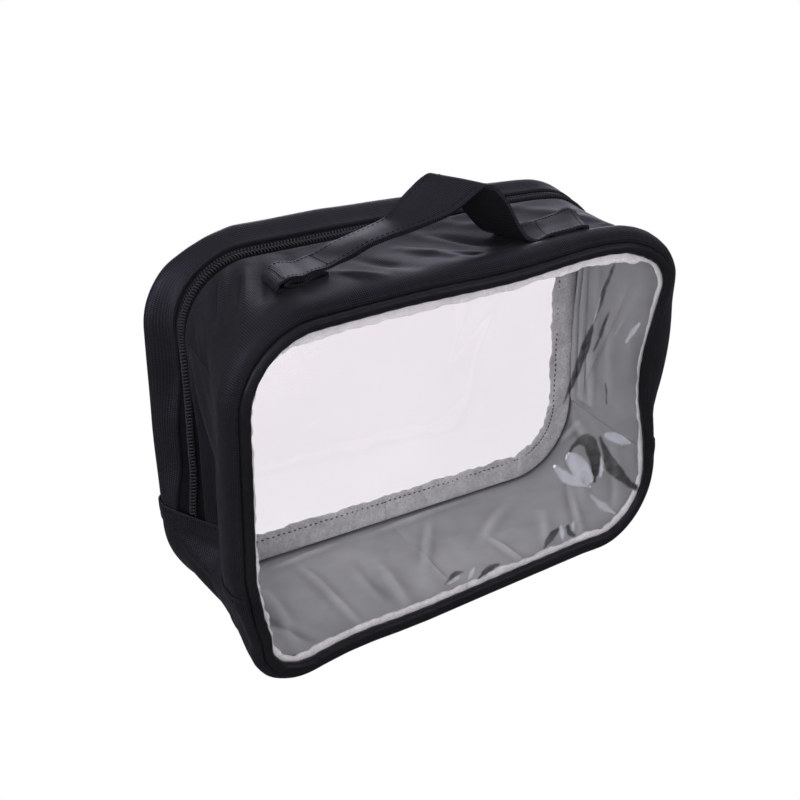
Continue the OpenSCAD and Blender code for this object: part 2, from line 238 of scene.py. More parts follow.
def lean(P):
    """the whole bag's lean, twist and dents, on points in mm."""
    x, y, z = P[..., 0], P[..., 1], P[..., 2]
    k = np.clip(y / 47.5, -1.12, 1.12)
    g = sm(55, 112, x) * (y > -10) * sm(-10, 12, y)
    X = x + SHEAR * k
    Y = y + k * (YAW * x / 125 + PITCH * (z - 89) / 90 * (1 - g) * sm(-5, 45, z) - 0.0)
    Z = z + LIFT * k * sm(2, 70, z)
    near = np.clip((-y - 32) / 15, 0, 1)
    dent = np.exp(-(((z - 100) / 40) ** 2)) * sm(50, 122, x)
    X = X - 9.5 * dent * near**2.2 * (1 - 0.25 * sm(84, 60, z))
    Y = Y + 1.2 * dent * near
    front = np.clip((-y - 20) / 27, 0, 1.1)
    # the front top edge dips between the corners, the front lower left corner spreads
    Z = Z - 2.0 * front**2 * np.exp(-(((x - 20) / 42) ** 2)) * sm(120, 178, z)
    back = np.clip((y - 25) / 22, 0, 1.1)
    Z = Z + 0.8 * back * np.sin(x / 33.0) * sm(150, 180, z)
    return np.stack([X, Y, Z], -1)


def place(s, y, t, sink=None):
    """point on the bag: s along the outline, y through the depth, t inward from the outer face."""
    s, y, t = np.broadcast_arrays(np.asarray(s, float), np.asarray(y, float), np.asarray(t, float))
    x, z, nx, nz = base(s)
    d = inward(s, y) if sink is None else sink
    t = t + d + REAR_RING(s) * np.clip((y - 22) / 22, 0, 1.05) + FRONT_RING(s) * np.clip((-y - 28) / 14, 0, 1.05)
    return lean(np.stack([x - t * nx, y, z - t * nz], -1))


# ---------------------------------------------------------------- mesh building
def make(name, verts, faces, uv=None, mat=None, smooth=True):
    me = bpy.data.meshes.new(name)
    verts = np.asarray(verts, float).reshape(-1, 3) * MM
    faces = np.asarray(faces, int)
    me.vertices.add(len(verts))
    me.vertices.foreach_set("co", verts.ravel())
    n = faces.shape[1]
    me.loops.add(faces.size)
    me.loops.foreach_set("vertex_index", faces.ravel())
    me.polygons.add(len(faces))
    me.polygons.foreach_set("loop_start", np.arange(len(faces)) * n)
    me.polygons.foreach_set("loop_total", np.full(len(faces), n))
    me.update(calc_edges=True)
    if uv is not None:
        layer = me.uv_layers.new(name="Cloth")
        layer.data.foreach_set("uv", np.asarray(uv, float).reshape(-1, 2)[faces.ravel()].ravel())
    me.validate()
    if smooth:
        me.polygons.foreach_set("use_smooth", np.ones(len(me.polygons), bool))
    if mat:
        me.materials.append(mat)
    o = bpy.data.objects.new(name, me)
    scene.collection.objects.link(o)
    return o


def quads(n, m, wrap_i=False, wrap_j=False, off=0, flip=False):
    ni, nj = (n if wrap_i else n - 1), (m if wrap_j else m - 1)
    i, j = np.meshgrid(np.arange(ni), np.arange(nj), indexing="ij")
    a = i * m + j
    b = ((i + 1) % n) * m + j
    c = ((i + 1) % n) * m + (j + 1) % m
    d = i * m + (j + 1) % m
    q = np.stack([a, b, c, d], -1).reshape(-1, 4) + off
    return q[:, ::-1] if flip else q


def normals(P, wrap_i=False, wrap_j=False):
    def diff(A, ax, wrap):
        if wrap:
            return np.roll(A, -1, ax) - np.roll(A, 1, ax)
        return np.gradient(A, axis=ax)

    n = np.cross(diff(P, 0, wrap_i), diff(P, 1, wrap_j))
    return n / np.maximum(np.linalg.norm(n, axis=-1, keepdims=True), 1e-9)


def relief(T, a=9, b=5):
    """how far a grid of depths stands out from its own smoothed shape."""
    def blur(A, n, ax):
        k = np.hanning(2 * n + 3)[1:-1]
        k /= k.sum()
        pad = [(0, 0), (0, 0)]
        pad[ax] = (n, n)
        return np.apply_along_axis(lambda v: np.convolve(v, k, mode="valid"), ax, np.pad(A, pad, mode="edge"))

    return T - blur(blur(T, a, 0), b, 1)


def set_painted_shade(o, tone):
    """painted shade from 0 to 1, for hollows, creases and seams where shade falls, the same on both faces of a shell.
    """
    v = np.tile(np.clip(tone, 0, 1).ravel(), len(o.data.vertices) // tone.size).astype(np.float32)
    at = o.data.attributes.new("painted_shade", "FLOAT", "POINT")
    at.data.foreach_set("value", v)


def shell(name, P, th, uv, mat, wrap_i=False, side=1):
    """a closed thin sheet: P is the outer face as a grid, th its thickness. side: which way the grid's normal faces."""
    n, m, _ = P.shape
    N = normals(P, wrap_i) * side
    Q = P - N * th
    V = np.concatenate([P.reshape(-1, 3), Q.reshape(-1, 3)])
    k = n * m
    f = side < 0
    F = [quads(n, m, wrap_i, False, 0, not f), quads(n, m, wrap_i, False, k, f)]
    F = [quads(n, m, wrap_i, False, 0, f), quads(n, m, wrap_i, False, k, not f)]
    e = []
    ni = n if wrap_i else n - 1
    i = np.arange(ni)
    i2 = (i + 1) % n
    e.append(np.stack([i * m, i * m + k, i2 * m + k, i2 * m], -1)[:, :: (-1 if f else 1)])
    e.append(np.stack([i * m + m - 1, i2 * m + m - 1, i2 * m + m - 1 + k, i * m + m - 1 + k], -1)[:, :: (-1 if f else 1)])
    if not wrap_i:
        j = np.arange(m - 1)
        e.append(np.stack([j, j + 1, j + 1 + k, j + k], -1)[:, :: (-1 if f else 1)])
        b = (n - 1) * m
        e.append(np.stack([b + j, b + j + k, b + j + 1 + k, b + j + 1], -1)[:, :: (-1 if f else 1)])
    F = np.concatenate(F + e)
    UV = np.concatenate([uv.reshape(-1, 2)] * 2)
    return make(name, V, F, UV, mat)


def tube(name, P, uv, mat, wrap_i=False):
    """a closed section (second axis) swept along the first."""
    n, m, _ = P.shape
    V, F, UV = P.reshape(-1, 3), [quads(n, m, wrap_i, True)], uv.reshape(-1, 2)
    if not wrap_i:
        V = np.concatenate([V, P[:1].mean(1), P[-1:].mean(1)])
        UV = np.concatenate([UV, uv[:1].mean(1), uv[-1:].mean(1)])
        j = np.arange(m)
        F.append(np.stack([j, (j + 1) % m, np.full(m, n * m), np.full(m, n * m)], -1))
        b = (n - 1) * m
        F.append(np.stack([b + (j + 1) % m, b + j, np.full(m, n * m + 1), np.full(m, n * m + 1)], -1))
        quad = np.concatenate(F[:1])
        tri = np.concatenate([f[:, :3] for f in F[1:]])
        return poly(name, V, quad, tri, UV, mat)
    return make(name, V, F[0], UV, mat)


def poly(name, V, quad, tri, UV, mat):
    me = bpy.data.meshes.new(name)
    V = np.asarray(V, float) * MM
    me.vertices.add(len(V))
    me.vertices.foreach_set("co", V.ravel())
    idx = np.concatenate([quad.ravel(), tri.ravel()])
    tot = np.concatenate([np.full(len(quad), 4), np.full(len(tri), 3)])
    st = np.concatenate([[0], np.cumsum(tot)[:-1]])
    me.loops.add(len(idx))
    me.loops.foreach_set("vertex_index", idx)
    me.polygons.add(len(tot))
    me.polygons.foreach_set("loop_start", st)
    me.polygons.foreach_set("loop_total", tot)
    me.update(calc_edges=True)
    layer = me.uv_layers.new(name="Cloth")
    layer.data.foreach_set("uv", np.asarray(UV, float)[idx].ravel())
    me.validate()
    me.polygons.foreach_set("use_smooth", np.ones(len(me.polygons), bool))
    me.materials.append(mat)
    o = bpy.data.objects.new(name, me)
    scene.collection.objects.link(o)
    return o


def fix_normals(o):
    import bmesh

    bm = bmesh.new()
    bm.from_mesh(o.data)
    bmesh.ops.recalc_face_normals(bm, faces=bm.faces)
    bm.to_mesh(o.data)
    bm.free()
    return o


def frames(C, up=None):
    """side and up vectors along a path."""
    T = np.gradient(C, axis=0)
    T /= np.maximum(np.linalg.norm(T, axis=1, keepdims=True), 1e-9)
    U = np.broadcast_to(np.asarray(up if up is not None else (0, 1, 0), float), C.shape)
    S = np.cross(T, U)
    S /= np.maximum(np.linalg.norm(S, axis=1, keepdims=True), 1e-9)
    return T, S, np.cross(S, T)


def wire(name, C, r, mat, up=None, sides=6, wrap=False):
    T, S, U = frames(C, up)
    a = np.linspace(0, 2 * math.pi, sides, endpoint=False)
    rr = np.asarray(r, float) * np.ones(len(C))
    P = C[:, None] + (S[:, None] * np.cos(a)[None, :, None] + U[:, None] * np.sin(a)[None, :, None]) * rr[:, None, None]
    uv = np.stack(np.broadcast_arrays(np.arange(len(C))[:, None] * 0.01, a[None] * 0.01), -1)
    return tube(name, P, uv, mat, wrap)


def stitches(name, C, T, U, length, r, mat, flat=0.7):
    """small capsules at centres C along T, standing on U."""
    T = T / np.maximum(np.linalg.norm(T, axis=1, keepdims=True), 1e-9)
    S = np.cross(T, U)
    S /= np.maximum(np.linalg.norm(S, axis=1, keepdims=True), 1e-9)
    U = np.cross(S, T)
    st = np.array([-1, -0.86, -0.45, 0, 0.45, 0.86, 1]) * length / 2
    rad = np.array([0.15, 0.75, 1.0, 1.04, 1.0, 0.75, 0.15]) * r
    lift = np.array([-0.8, -0.25, 0.15, 0.2, 0.15, -0.25, -0.8]) * r
    a = np.linspace(0, 2 * math.pi, 6, endpoint=False)
    n, k, m = len(C), len(st), 6
    P = (
        C[:, None, None]
        + T[:, None, None] * st[None, :, None, None]
        + (S[:, None, None] * np.cos(a)[None, None, :, None] + U[:, None, None] * np.sin(a)[None, None, :, None] * flat) * rad[None, :, None, None]
        + U[:, None, None] * lift[None, :, None, None]
    )
    V = P.reshape(-1, 3)
    q = quads(k, m, False, True)
    quad = (q[None] + (np.arange(n) * k * m)[:, None, None]).reshape(-1, 4)
    j = np.arange(1, m - 1)
    cap0 = np.stack([np.zeros(m - 2, int), j, j + 1], -1)
    cap1 = np.stack([np.zeros(m - 2, int), j + 1, j], -1) + (k - 1) * m
    tri = (np.concatenate([cap0, cap1])[None] + (np.arange(n) * k * m)[:, None, None]).reshape(-1, 3)
    return poly(name, V, quad, tri, np.zeros((len(V), 2)), mat)


# ---------------------------------------------------------------- materials
def new_mat(name):
    m = bpy.data.materials.new(name)
    m.use_nodes = True
    t = m.node_tree
    for n in list(t.nodes):
        t.nodes.remove(n)
    out = t.nodes.new("ShaderNodeOutputMaterial")
    return m, t, out


class NT:
    def __init__(self, t):
        self.t = t

    def node(self, kind, **kw):
        n = self.t.nodes.new(kind)
        for k, v in kw.items():
            setattr(n, k, v)
        return n

    def link(self, a, b):
        self.t.links.new(a, b)

    def math(self, op, a, b=None, c=None):
        n = self.node("ShaderNodeMath", operation=op)
        for i, v in enumerate((a, b, c)):
            if v is None:
                continue
            if hasattr(v, "is_output"):
                self.link(v, n.inputs[i])
            else:
                n.inputs[i].default_value = v
        return n.outputs[0]

    def uv(self):
        n = self.node("ShaderNodeUVMap", uv_map="Cloth")
        s = self.node("ShaderNodeSeparateXYZ")
        self.link(n.outputs[0], s.inputs[0])
        return n.outputs[0], s.outputs[0], s.outputs[1]

    def noise(self, vec, scale, detail=3.0, rough=0.55):
        n = self.node("ShaderNodeTexNoise")
        n.inputs["Scale"].default_value = scale
        n.inputs["Detail"].default_value = detail
        n.inputs["Roughness"].default_value = rough
        if vec is not None:
            self.link(vec, n.inputs["Vector"])
        return n.outputs[0]

    def ramp(self, fac, c0, c1, p0=0.0, p1=1.0):
        n = self.node("ShaderNodeValToRGB")
        n.color_ramp.elements[0].color = (*c0, 1)
        n.color_ramp.elements[1].color = (*c1, 1)
        n.color_ramp.elements[0].position = p0
        n.color_ramp.elements[1].position = p1
        self.link(fac, n.inputs[0])
        return n.outputs[0]

    def bump(self, h, dist, strength=1.0, normal=None):
        n = self.node("ShaderNodeBump")
        n.inputs["Distance"].default_value = dist
        n.inputs["Strength"].default_value = strength
        self.link(h, n.inputs["Height"])
        if normal is not None:
            self.link(normal, n.inputs["Normal"])
        return n.outputs[0]


def cloth_mat(name, dark, light, pitch, depth, rough=0.5, sheen=0.05, tint=(0.8, 0.77, 1.0), spec=(0.1, 0.9), rib=0.0, sheen_rough=0.35, mott=0.25):
    """woven cloth: yarn crossings as small glossy dots of the pitch, in mm, with slow changes of tone."""
    m, t, out = new_mat(name)
    k = NT(t)
    vec, u, v = k.uv()
    geo = k.node("ShaderNodeTexCoord").outputs["Object"]
    # uv is in metres times ten
    f = 2 * math.pi * 100 / pitch
    wob = k.math("MULTIPLY", k.noise(geo, 240, 2), 1.1)
    cu = k.math("ADD", k.math("MULTIPLY", k.math("COSINE", k.math("ADD", k.math("MULTIPLY", u, f), wob)), 0.5), 0.5)
    cv = k.math("ADD", k.math("MULTIPLY", k.math("COSINE", k.math("ADD", k.math("MULTIPLY", v, f), wob)), 0.5), 0.5)
    h = k.math("MULTIPLY", cu, cv)
    if rib:
        h = k.math("ADD", k.math("MULTIPLY", h, 1 - rib), k.math("MULTIPLY", cv, rib))
    big = k.noise(geo, 24, 4, 0.6)
    fine = k.noise(geo, 1100, 2)
    patch = k.noise(geo, 70, 3, 0.6)
    tone = k.math("ADD", k.math("MULTIPLY", h, 0.22), k.math("ADD", k.math("MULTIPLY", big, mott + 0.25), k.math("MULTIPLY", fine, 0.2)))
    b = k.node("ShaderNodeBsdfPrincipled")
    k.link(k.ramp(tone, dark, light, 0.12, 0.8), b.inputs["Base Color"])
    k.link(k.math("ADD", k.math("MULTIPLY", patch, 0.2), rough - 0.1), b.inputs["Roughness"])
    # the dots show where the coating has worn to the yarn, in patches
    worn = k.node("ShaderNodeMapRange", interpolation_type="SMOOTHSTEP")
    k.link(patch, worn.inputs["Value"])
    worn.inputs["From Min"].default_value, worn.inputs["From Max"].default_value = 0.40, 0.62
    worn.inputs["To Min"].default_value, worn.inputs["To Max"].default_value = 0.15, 1.0
    dots = k.math("MULTIPLY", k.math("SUBTRACT", k.math("ADD", h, k.math("MULTIPLY", fine, 0.25)), 0.36), worn.outputs[0])
    amt = k.math("MAXIMUM", k.math("ADD", dots, 0.42), 0.0)
    # painted shade: the shade attribute weakens the glossy dots in hollows, creases and seams
    shade = k.node("ShaderNodeAttribute", attribute_name="painted_shade").outputs["Fac"]
    lit = k.math("SUBTRACT", 1.0, shade)
    k.link(k.math("MULTIPLY", k.math("ADD", k.math("MULTIPLY", amt, spec[1] - spec[0]), spec[0]), lit), b.inputs["Specular IOR Level"])
    b.inputs["Specular Tint"].default_value = (*tint, 1)
    b.inputs["Sheen Weight"].default_value = sheen
    b.inputs["Sheen Roughness"].default_value = sheen_rough
    b.inputs["Sheen Tint"].default_value = (*tint, 1)
    n1 = k.bump(k.math("ADD", h, k.math("MULTIPLY", fine, 0.3)), depth * MM, 0.9)
    n2 = k.bump(patch, 0.5 * MM, 0.3, n1)
    k.link(n2, b.inputs["Normal"])
    k.link(b.outputs[0], out.inputs[0])
    return m


def satin_mat(name, dark, light):
    """thin coated lining: even, with faint crumples."""
    m, t, out = new_mat(name)
    k = NT(t)
    geo = k.node("ShaderNodeTexCoord").outputs["Object"]
    big, mid, fine = k.noise(geo, 17, 3, 0.55), k.noise(geo, 75, 4, 0.6), k.noise(geo, 2600, 2)
    tone = k.math("ADD", k.math("MULTIPLY", big, 0.55), k.math("ADD", k.math("MULTIPLY", mid, 0.35), k.math("MULTIPLY", fine, 0.1)))
    b = k.node("ShaderNodeBsdfPrincipled")
    # painted shade: the shade attribute darkens the lining's colour in its creases and along its seams
    shade = k.node("ShaderNodeAttribute", attribute_name="painted_shade").outputs["Fac"]
    dim = k.node("ShaderNodeMixRGB", blend_type="MULTIPLY")
    dim.inputs[0].default_value = 1.0
    k.link(k.ramp(tone, dark, light, 0.3, 0.7), dim.inputs[1])
    k.link(k.math("SUBTRACT", 1.0, shade), dim.inputs[2])
    k.link(dim.outputs[0], b.inputs["Base Color"])
    k.link(k.math("ADD", k.math("MULTIPLY", mid, 0.2), 0.36), b.inputs["Roughness"])
    b.inputs["Specular IOR Level"].default_value = 0.35
    b.inputs["Sheen Weight"].default_value = 0.1
    k.link(k.bump(k.math("ADD", mid, k.math("MULTIPLY", big, 1.6)), 0.9 * MM, 0.5), b.inputs["Normal"])
    k.link(b.outputs[0], out.inputs[0])
    return m


def felt_mat(name, dark, light, rough=0.9):
    m, t, out = new_mat(name)
    k = NT(t)
    vec, u, v = k.uv()
    geo = k.node("ShaderNodeTexCoord").outputs["Object"]
    fine = k.noise(geo, 900, 4, 0.75)
    mid = k.noise(geo, 150, 4, 0.65)
    f = 2 * math.pi * 100 / 0.9
    grid = k.math("MULTIPLY", k.math("SINE", k.math("MULTIPLY", u, f)), k.math("SINE", k.math("MULTIPLY", v, f)))
    tone = k.math("ADD", k.math("MULTIPLY", fine, 0.6), k.math("ADD", k.math("MULTIPLY", mid, 0.4), k.math("MULTIPLY", grid, 0.12)))
    b = k.node("ShaderNodeBsdfPrincipled")
    k.link(k.ramp(tone, dark, light, 0.3, 0.75), b.inputs["Base Color"])
    k.link(k.math("ADD", k.math("MULTIPLY", mid, 0.1), rough - 0.05), b.inputs["Roughness"])
    b.inputs["Specular IOR Level"].default_value = 0.2
    b.inputs["Sheen Weight"].default_value = 0.25
    b.inputs["Sheen Roughness"].default_value = 0.5
    k.link(k.bump(tone, 0.6 * MM, 1.0), b.inputs["Normal"])
    k.link(b.outputs[0], out.inputs[0])
    return m


def vinyl_mat(name, c0, c1, rough=0.38, bump=0.06, spec=0.5, scale=420):
    m, t, out = new_mat(name)
    k = NT(t)
    geo = k.node("ShaderNodeTexCoord").outputs["Object"]
    a, bb = k.noise(geo, scale, 4, 0.6), k.noise(geo, 26, 3, 0.5)
    b = k.node("ShaderNodeBsdfPrincipled")
    k.link(k.ramp(k.math("ADD", k.math("MULTIPLY", a, 0.5), k.math("MULTIPLY", bb, 0.5)), c0, c1, 0.3, 0.7), b.inputs["Base Color"])
    k.link(k.math("ADD", k.math("MULTIPLY", bb, 0.2), rough - 0.1), b.inputs["Roughness"])
    b.inputs["Specular IOR Level"].default_value = spec
    b.inputs["Specular Tint"].default_value = (0.84, 0.82, 1.0, 1)
    k.link(k.bump(k.math("ADD", a, k.math("MULTIPLY", bb, 1.5)), bump * MM, 0.8), b.inputs["Normal"])
    k.link(b.outputs[0], out.inputs[0])
    return m


def metal_mat(name):
    m, t, out = new_mat(name)
    k = NT(t)
    geo = k.node("ShaderNodeTexCoord").outputs["Object"]
    a, bb = k.noise(geo, 700, 4, 0.6), k.noise(geo, 90, 3, 0.5)
    b = k.node("ShaderNodeBsdfPrincipled")
    k.link(k.ramp(bb, (0.012, 0.012, 0.014), (0.03, 0.03, 0.033), 0.35, 0.7), b.inputs["Base Color"])
    k.link(k.math("ADD", k.math("MULTIPLY", a, 0.2), 0.2), b.inputs["Roughness"])
    b.inputs["Metallic"].default_value = 0.0
    b.inputs["Coat Weight"].default_value = 0.6
    b.inputs["Coat Roughness"].default_value = 0.18
    k.link(k.bump(a, 0.03 * MM, 0.6), b.inputs["Normal"])
    k.link(b.outputs[0], out.inputs[0])
    return m


def clear_mat(name, tint=(0.995, 0.982, 0.993), gain=1.0, rough=0.03):
    """thin clear sheet: it lets light straight through and mirrors a little on both faces, with painted dark
    reflections along hard folds and painted highlights on flat facets, read from a vertex attribute.
    """
    m, t, out = new_mat(name)
    k = NT(t)
    geo = k.node("ShaderNodeTexCoord").outputs["Object"]
    soft = k.noise(geo, 14, 3, 0.5)
    at = k.node("ShaderNodeAttribute", attribute_name="fold_painted_light")
    fs = k.node("ShaderNodeSeparateXYZ")
    k.link(at.outputs["Vector"], fs.inputs[0])
    tr = k.node("ShaderNodeBsdfTransparent")
    see = k.node("ShaderNodeMixRGB", blend_type="MULTIPLY")
    see.inputs[0].default_value = 1.0
    k.link(k.ramp(soft, tuple(c * 0.99 for c in tint), tuple(min(1, c * 1.005) for c in tint), 0.3, 0.7), see.inputs[1])
    # painted reflection: the first channel darkens the see-through colour along hard folds
    k.link(k.math("SUBTRACT", 1.0, k.math("MULTIPLY", fs.outputs[0], k.math("ADD", k.math("MULTIPLY", k.noise(geo, 210, 2, 0.6), 0.5), 0.32))), see.inputs[2])
    k.link(see.outputs[0], tr.inputs[0])
    gl = k.node("ShaderNodeBsdfGlossy")
    gl.inputs["Color"].default_value = (1, 1, 1, 1)
    k.link(k.math("ADD", k.math("MULTIPLY", soft, 0.03), rough), gl.inputs["Roughness"])
    lw = k.node("ShaderNodeLayerWeight")
    lw.inputs["Blend"].default_value = 0.5
    fres = k.math("ADD", k.math("MULTIPLY", k.math("POWER", lw.outputs["Facing"], 5.0), 0.9), 0.042)
    ripple = k.bump(k.noise(geo, 34, 2, 0.45), 1.2 * MM, 0.35)
    k.link(ripple, gl.inputs["Normal"])
    mix = k.node("ShaderNodeMixShader")
    # painted highlight: the second channel adds a little more mirror on flat facets
    k.link(k.math("MINIMUM", k.math("ADD", k.math("MULTIPLY", fres, gain), k.math("MULTIPLY", fs.outputs[1], 0.05)), 1.0), mix.inputs[0])
    k.link(tr.outputs[0], mix.inputs[1])
    k.link(gl.outputs[0], mix.inputs[2])
    # painted highlight: a pale matt layer mixed in on flat facets by the second channel
    painted_highlight_layer = k.node("ShaderNodeBsdfDiffuse")
    painted_highlight_layer.inputs[0].default_value = (0.66, 0.68, 0.78, 1)
    both = k.node("ShaderNodeMixShader")
    k.link(k.math("MULTIPLY", fs.outputs[1], k.math("ADD", k.math("MULTIPLY", k.noise(geo, 160, 3, 0.6), 0.4), 0.06)), both.inputs[0])
    k.link(mix.outputs[0], both.inputs[1])
    k.link(painted_highlight_layer.outputs[0], both.inputs[2])
    k.link(both.outputs[0], out.inputs[0])
    return m


M = {
    "gusset": cloth_mat("gusset_cloth", (0.0045, 0.0045, 0.0050), (0.016, 0.0155, 0.019), 1.04, 0.13, rough=0.38, sheen=0.03, rib=0.0, spec=(0.05, 1.0)),
    "strap": cloth_mat("strap_cloth", (0.0045, 0.0045, 0.005), (0.015, 0.0145, 0.018), 1.0, 0.16, rough=0.4, sheen=0.03, rib=0.1, spec=(0.05, 0.9)),
    "tape": cloth_mat("zip_tape_cloth", (0.002, 0.002, 0.0022), (0.007, 0.007, 0.008), 0.8, 0.14, rough=0.75, sheen=0.01, rib=0.6, spec=(0.05, 0.3)),
    "lining": satin_mat("lining_cloth", (0.32, 0.335, 0.345), (0.51, 0.525, 0.535)),
    "binding": felt_mat("binding_felt", (0.34, 0.345, 0.35), (0.95, 0.955, 0.97)),
    "piping": vinyl_mat("piping_vinyl", (0.005, 0.005, 0.0055), (0.010, 0.010, 0.011), rough=0.4, spec=0.5),
    "coil": vinyl_mat("coil_plastic", (0.010, 0.010, 0.011), (0.026, 0.026, 0.028), rough=0.3, bump=0.02, spec=0.8, scale=900),
    # painted light: a paler, lit copy of the binding felt for the front binding, standing in for the light it catches
    # through the front window
    "binding_front": felt_mat("binding_felt_front_painted_light", (0.48, 0.485, 0.49), (0.98, 0.985, 1.0)),
    "thread": vinyl_mat("thread_black", (0.003, 0.003, 0.0035), (0.012, 0.012, 0.013), rough=0.7, bump=0.05, spec=0.2, scale=1600),
    "thread_grey": vinyl_mat("thread_grey", (0.05, 0.05, 0.053), (0.12, 0.12, 0.125), rough=0.7, bump=0.05, spec=0.3, scale=1600),
    "metal": metal_mat("zip_metal_black"),
    "clear": clear_mat("clear_pvc"),
}


def done(o, nodes=(), body=None, blend=None):
    if nodes:
        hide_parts(*nodes)
    if body:
        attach(o, body)
    if blend == "flap":
        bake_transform(o)
    if blend == "handle":
        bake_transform(o)
    return o


def grid(svals, prof_t, prof_y, sink=None, extra=None):
    """ring grid from lists of s and section points."""
    S = np.asarray(svals)[:, None]
    T = np.asarray(prof_t, float)
    Y = np.asarray(prof_y, float)
    if T.ndim == 1:
        T, Y = T[None, :], Y[None, :]
    S, T, Y = np.broadcast_arrays(S, T, Y)
    if extra is not None:
        T = T + extra(S, Y)
    P = place(S, Y, T, sink)
    uv = np.stack([S * 0.01, (Y - T) * 0.01], -1)
    return P, uv


# ---------------------------------------------------------------- gussets
def front_roll(y_end, m):
    """section from the seam groove over the roll and back to y_end."""
    t = np.array([7.4, 6.2, 5.3, 4.4, 3.2, 2.1, 1.2, 0.55, 0.2, 0.05, 0.0])
    y = np.array([-45.6, -46.0, -46.6, -47.1, -47.0, -46.3, -45.2, -43.8, -42.2, -40.4, -38.5])
    yy = np.linspace(-37, y_end, m)
    return np.concatenate([t, np.zeros(m)]), np.concatenate([y, yy])


MAIN_Y = 14.8
STRIP_Y = 31.0
S0, S1 = s_right(50.5), s_left(50.5)
ss = np.linspace(S0, S1, 560)
t_, y_ = front_roll(MAIN_Y - 1.2, 62)
fold_t, fold_y = np.array([0.0, 0.1, 0.45, 0.9, 1.15, 1.2]), np.array([MAIN_Y - 0.5, MAIN_Y, MAIN_Y + 0.25, MAIN_Y, MAIN_Y - 0.7, MAIN_Y - 4])
t_, y_ = np.concatenate([t_, fold_t]), np.concatenate([y_, fold_y])
roll_pucker = lambda S, Y: (0.10 * np.sin(S / 0.9 + 0.4 * np.sin(S / 7)) * np.exp(-(((Y + 46.6) / 1.2) ** 2)) + 0.25 * N3(S / 9, Y / 7) * np.exp(-(((Y + 42) / 6) ** 2)) + 0.22 * N4(S / 5, Y / 9) * sm(-40, -30, Y) * (1 - sm(11, 14, Y)))
P, uv = grid(ss, t_, y_, extra=roll_pucker)
o = shell("side_and_top_gusset", P, 0.75, uv, M["gusset"], side=1)
Sg, Yg = np.broadcast_arrays(ss[:, None], y_[None])
deep = inward(Sg, Yg)
gx, gz, gnx, gnz = base(Sg)
left_side = np.clip(-gnx, 0, 1)
# painted shade on the gusset's gloss: more in hollows and creases, in the deep hollow of the lower left side, along the
# groove by the front piping, and in two patches beside the left tab
GUSSET_PAINTED_SHADE = 0.12 + 0.42 * relief(deep + roll_pucker(Sg, Yg), 7, 5)
GUSSET_PAINTED_SHADE = GUSSET_PAINTED_SHADE + 0.5 * left_side * sm(10, 16, deep) * sm(150, 120, gz) + 0.5 * np.exp(-(((Yg + 45.9) / 0.9) ** 2))
GUSSET_PAINTED_SHADE = GUSSET_PAINTED_SHADE + 0.42 * np.exp(-(((Sg - 497) / 9) ** 2 + ((Yg + 14) / 16) ** 2)) + 0.4 * np.exp(-(((Sg - 531) / 8) ** 2 + ((Yg + 22) / 12) ** 2))
set_painted_shade(o, np.clip(GUSSET_PAINTED_SHADE, 0, 0.85))
done(fix_normals(o), ["main_gusset"], "bag_body")

# rear strip, on the opening panel
ss2 = np.linspace(s_right(54.0), s_left(54.0), 520)
yr_ = np.array([STRIP_Y + 4, STRIP_Y + 0.7, STRIP_Y, STRIP_Y - 0.25, STRIP_Y, STRIP_Y + 0.6, 33, 34.5, 36, 37.5, 39, 40.5, 42.2, 43.8, 45.2, 46.3, 47.0, 47.1, 46.6, 46.0, 45.6])
tr_ = np.array([1.2, 1.15, 0.9, 0.45, 0.1, 0, 0, 0, 0, 0, 0.0, 0.05, 0.2, 0.55, 1.2, 2.1, 3.2, 4.4, 5.3, 6.2, 7.4])
rear_pucker = lambda S, Y: (0.12 * np.sin(S / 0.95) * np.exp(-(((Y - 33.0) / 0.8) ** 2)) + 0.3 * N4(S / 11, Y / 8) * sm(32, 36, Y) * (1 - sm(44, 46.5, Y)))
P, uv = grid(ss2, tr_, yr_, extra=rear_pucker)
o = shell("rear_strip", P, 0.75, uv, M["gusset"], side=1)
done(fix_normals(o), ["rear_gusset_strip"], blend="flap")

# bottom gusset with its wings
sb = np.concatenate([np.linspace(s_left(WING - 0.6), PER, 250), np.linspace(0, s_right(WING - 0.6), 250)[1:]])
t_, y_ = front_roll(30, 56)
tb = np.concatenate([t_, [0, 0, 0, 0, 0.05, 0.2, 0.55, 1.2, 2.1, 3.2, 4.4, 5.3, 6.2, 7.4]])
yb = np.concatenate([y_, [32, 34, 36.5, 38.5, 40.4, 42.2, 43.8, 45.2, 46.3, 47.0, 47.1, 46.6, 46.0, 45.6]])
bot_noise = lambda S, Y: 0.3 * (0.5 + 0.5 * N3(S / 13, Y / 12)) * sm(-44, -34, Y) * (1 - sm(34, 44, Y)) * 1.2
lap = lambda S: -1.0 * sm(12, 4, np.minimum(np.abs(S - s_left(WING - 0.6)), np.abs(S - s_right(WING - 0.6))))
P, uv = grid(sb, tb, yb, extra=lambda S, Y: bot_noise(S, Y) + lap(S))
P[..., 2] = np.maximum(P[..., 2], 0.0)
o = shell("bottom_gusset_cloth", P, 0.75, uv, M["gusset"], side=1)
done(fix_normals(o), ["bottom_gusset"], "bag_body")

